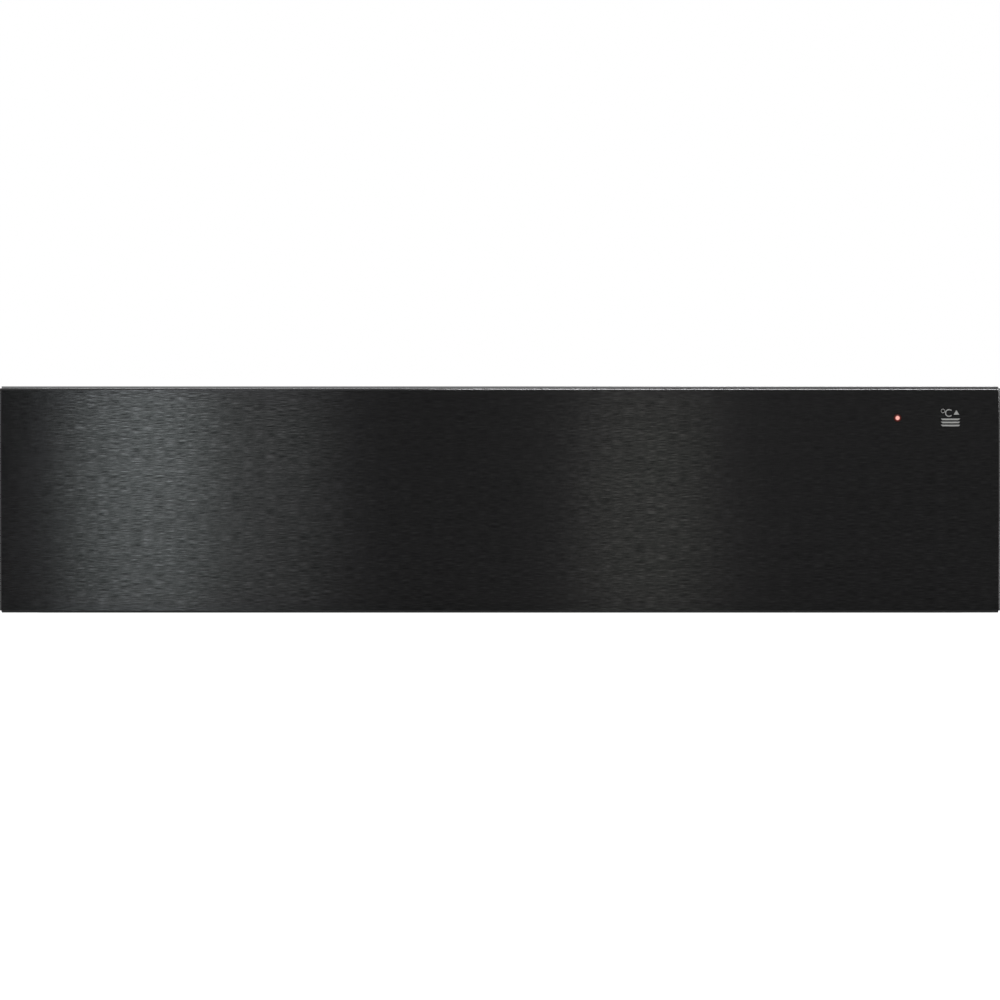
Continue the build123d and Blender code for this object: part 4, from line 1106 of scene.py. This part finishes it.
# %% Ring element and cable entry
def make_ring():
    bm = bmesh.new()
    radius, bend, rod, gap, ring_depth, end_depth = 39.88, 4.5, 3.25, radians(46.8), 463, 502
    start = Vector((radius * sin(gap) * mm, 0, -radius * cos(gap) * mm))
    turn = Matrix.Translation(start) @ Matrix.Rotation(gap - pi / 2, 4, "Y")
    bmesh.ops.create_circle(bm, segments=16, radius=rod * mm, matrix=turn)
    first = bm.edges[:]
    swept = bmesh.ops.spin(bm, geom=first, cent=(0, 0, 0), axis=(0, -1, 0), angle=2 * (pi - gap),
                           steps=56)
    for rim, side in ((first, 1), (edges_in(swept["geom_last"]), -1)):
        centre = sum((v.co for e in rim for v in e.verts), Vector()) / (2 * len(rim))
        along_ring = Vector((-side * cos(gap), 0, -sin(gap)))
        bent = bmesh.ops.spin(bm, geom=rim, cent=centre + Vector((0, bend * mm, 0)),
                              axis=along_ring.cross(Vector((0, 1, 0))), angle=pi / 2, steps=7)
        verts, rim = pull(bm, edges_in(bent["geom_last"]))
        shift(bm, verts, y=end_depth - ring_depth - bend)
        bmesh.ops.edgeloop_fill(bm, edges=rim)
    bmesh.ops.remove_doubles(bm, verts=bm.verts, dist=1e-7)
    bmesh.ops.translate(bm, vec=spot(0, ring_depth, tray_middle), verts=bm.verts)
    outwards(bm)
    return make_piece(bm, "ring_rod", "ring_element")


def make_entry():
    bm = bmesh.new()
    verts = turned(bm, [(5, -7), (8, -7), (8, 0), (13.8, 0), (14, 0.3), (14, 1.5), (13.6, 2.0),
                        (11.5, 2.3), (9.6, 2.9), (8.8, 3.0), (6.4, 3.0), (5.6, 2.8), (5, 2.2)],
                   48, closed=True)
    place(bm, verts, spot(entry_x, rear_depth, entry_z), "back")
    outwards(bm)
    return make_piece(bm, "cable_entry", "cable_gland")


tell(make_ring())
tell(make_entry())

# %% [markdown]
# ## Mat
# A silicone mat keeps plates from sliding. Its corners are round, and its upper side has rows of
# low studs. They are many and small, so they are height in the material, not mesh.

# %% Mat
def stud_mat():
    colour = (0.028, 0.0285, 0.031)
    material, tree, shader = principled("stud_mat", colour, 0.6)
    cell = vectors(tree, "FRACTION", stretched(tree, (160, 160, 0)))
    away = vectors(tree, "DISTANCE", cell, (0.5, 0.5, 0))
    stud = ranged(tree, away, 0.2, 0.3, 1, 0)
    skin = use(tree, moulding_group, stretched(tree), Scale=2500.0)
    height = maths(tree, "ADD", stud, maths(tree, "MULTIPLY", skin.outputs["Height"], 0.06))
    bump(tree, shader, height, 0.5 * mm)
    tint(tree, shader, colour, wipe(tree, shader, 0.58, 0.25))
    return material


def make_mat():
    bm = bmesh.new()
    tray_floor, thickness = 10, 2.0
    corners = [(-257.3, 22), (130, 22), (130, 71.3), (257.3, 71.3), (257.3, 439), (-257.3, 439)]
    loop = wire(bm, [spot(x, depth, tray_floor) for x, depth in corners], closed=True)
    bmesh.ops.contextual_create(bm, geom=loop)
    soften(bm, bm.verts[:], 5, 6, "VERTICES")
    face_up(bm)
    thicken(bm, thickness)
    upper = [v for v in bm.verts if v.co.z > (tray_floor + thickness - 0.1) * mm]
    soften(bm, edges_among(bm.edges, upper), 0.6, 3)
    return make_piece(bm, "drawer_mat", "tray_mat", material=stud_mat())


tell(make_mat())

# %% [markdown]
# ## Knob, dial and switch marks
# The knob is a turned skirt with a bar grip. The bar is a disc cut by two planes, drawn up and
# tapered, so its ends follow the skirt. A white line on it points at the dial printed on the
# console: plain numbers from 30 to 80 degrees over three quarters of a turn, with a tick for each.

# %% Knob
knob_x, knob_depth, knob_low = 225.0, 45.8, 100.6


def make_knob():
    bm = bmesh.new()
    turned(bm, [(3.05, 2.4), (7.6, 2.4), (7.6, 0.0), (16.4, 0.0), (16.9, 0.25), (17.0, 0.7),
                (16.7, 2.9), (16.2, 3.6), (15.4, 3.95), (14.5, 4.0), (3.05, 4.0)], 72, closed=True)
    skirt, grip_height, grip_half, grip_radius = 4, 7.0, 4.5, 15
    grip = bmesh.new()
    bmesh.ops.create_circle(grip, cap_ends=True, segments=72, radius=grip_radius * mm)
    for side in (-1, 1):
        bmesh.ops.bisect_plane(grip, geom=grip.verts[:] + grip.edges[:] + grip.faces[:], dist=1e-7,
                               plane_co=(side * grip_half * mm, 0, 0), plane_no=(side, 0, 0),
                               clear_outer=True)
    thicken(grip, grip_height)
    shift(grip, grip.verts, z=skirt)
    upper = [v for v in grip.verts if v.co.z > 10 * mm]
    bmesh.ops.scale(grip, vec=(0.86, 0.96, 1), verts=upper)
    soften(grip, edges_among(grip.edges, upper), 0.9, 4)
    join(bm, grip)
    place(bm, bm.verts, spot(knob_x, knob_depth, knob_low))
    return make_piece(bm, "dial_knob", "thermostat_knob", 30)


def flat_bar(x_size, y_size):
    bm = bmesh.new()
    made = bmesh.ops.create_grid(bm, x_segments=1, y_segments=1, size=0.5)["verts"]
    bmesh.ops.scale(bm, vec=(x_size * mm, y_size * mm, 1), verts=made)
    soften(bm, made, min(x_size, y_size) * 0.35, 3, "VERTICES")
    return bm


def make_pointer():
    bm = flat_bar(1.2, 8.2)
    thicken(bm, 0.04)
    place(bm, bm.verts, spot(knob_x, knob_depth - 9.2, knob_low + 10.99))
    return printed(bm, "knob_pointer", "thermostat_knob", white_ink)


tell(make_knob())
tell(make_pointer())

# %% Dial and switch marks
def make_dial():
    """The numbers lie on a ring of 21.6 mm and the ticks on one of 18.4 mm."""
    bm = bmesh.new()
    for step in range(6):
        angle = radians(54 * step)
        way = Vector((-sin(angle), -cos(angle), 0))
        number = letter(str(30 + 10 * step), 2.5)
        bmesh.ops.translate(number, vec=way * 21.6 * mm, verts=number.verts)
        join(bm, number)
        tick = flat_bar(0.5, 1.3)
        turn = Matrix.Rotation(-angle, 3, "Z")
        bmesh.ops.rotate(tick, cent=(0, 0, 0), matrix=turn, verts=tick.verts)
        bmesh.ops.translate(tick, vec=way * 18.4 * mm, verts=tick.verts)
        join(bm, tick)
    thicken(bm)
    place(bm, bm.verts, spot(knob_x, knob_depth, 100))
    return printed(bm, "dial_numbers", "console", white_ink)


def make_switch_marks():
    """A line for on at the back half, level at rest, and a ring for off at the front half."""
    bm = flat_bar(0.7, 3.2)
    thicken(bm)
    place(bm, bm.verts, spot(165, 50.3, 101.513))
    off = flat_ring(1.6, 0.5)
    thicken(off)
    rocked = Matrix.Rotation(radians(-20), 3, "X")
    bmesh.ops.rotate(off, cent=(0, 0, 0), matrix=rocked, verts=off.verts)
    bmesh.ops.translate(off, vec=spot(165, 43.04, 102.8), verts=off.verts)
    join(bm, off)
    return printed(bm, "switch_marks", "switch_rocker", white_ink)


tell(make_dial())
tell(make_switch_marks())

# %% Dressed nodes
edges = {"front_panel": 0.0, "front_insulation": 0.0, "console": 0.6, "switch_rocker": 0.4}
plain = [name for name in slot_of if name not in modelled]
for name in plain:
    dressed(name, edges.get(name, 0.2))
print("dressed", len(plain))
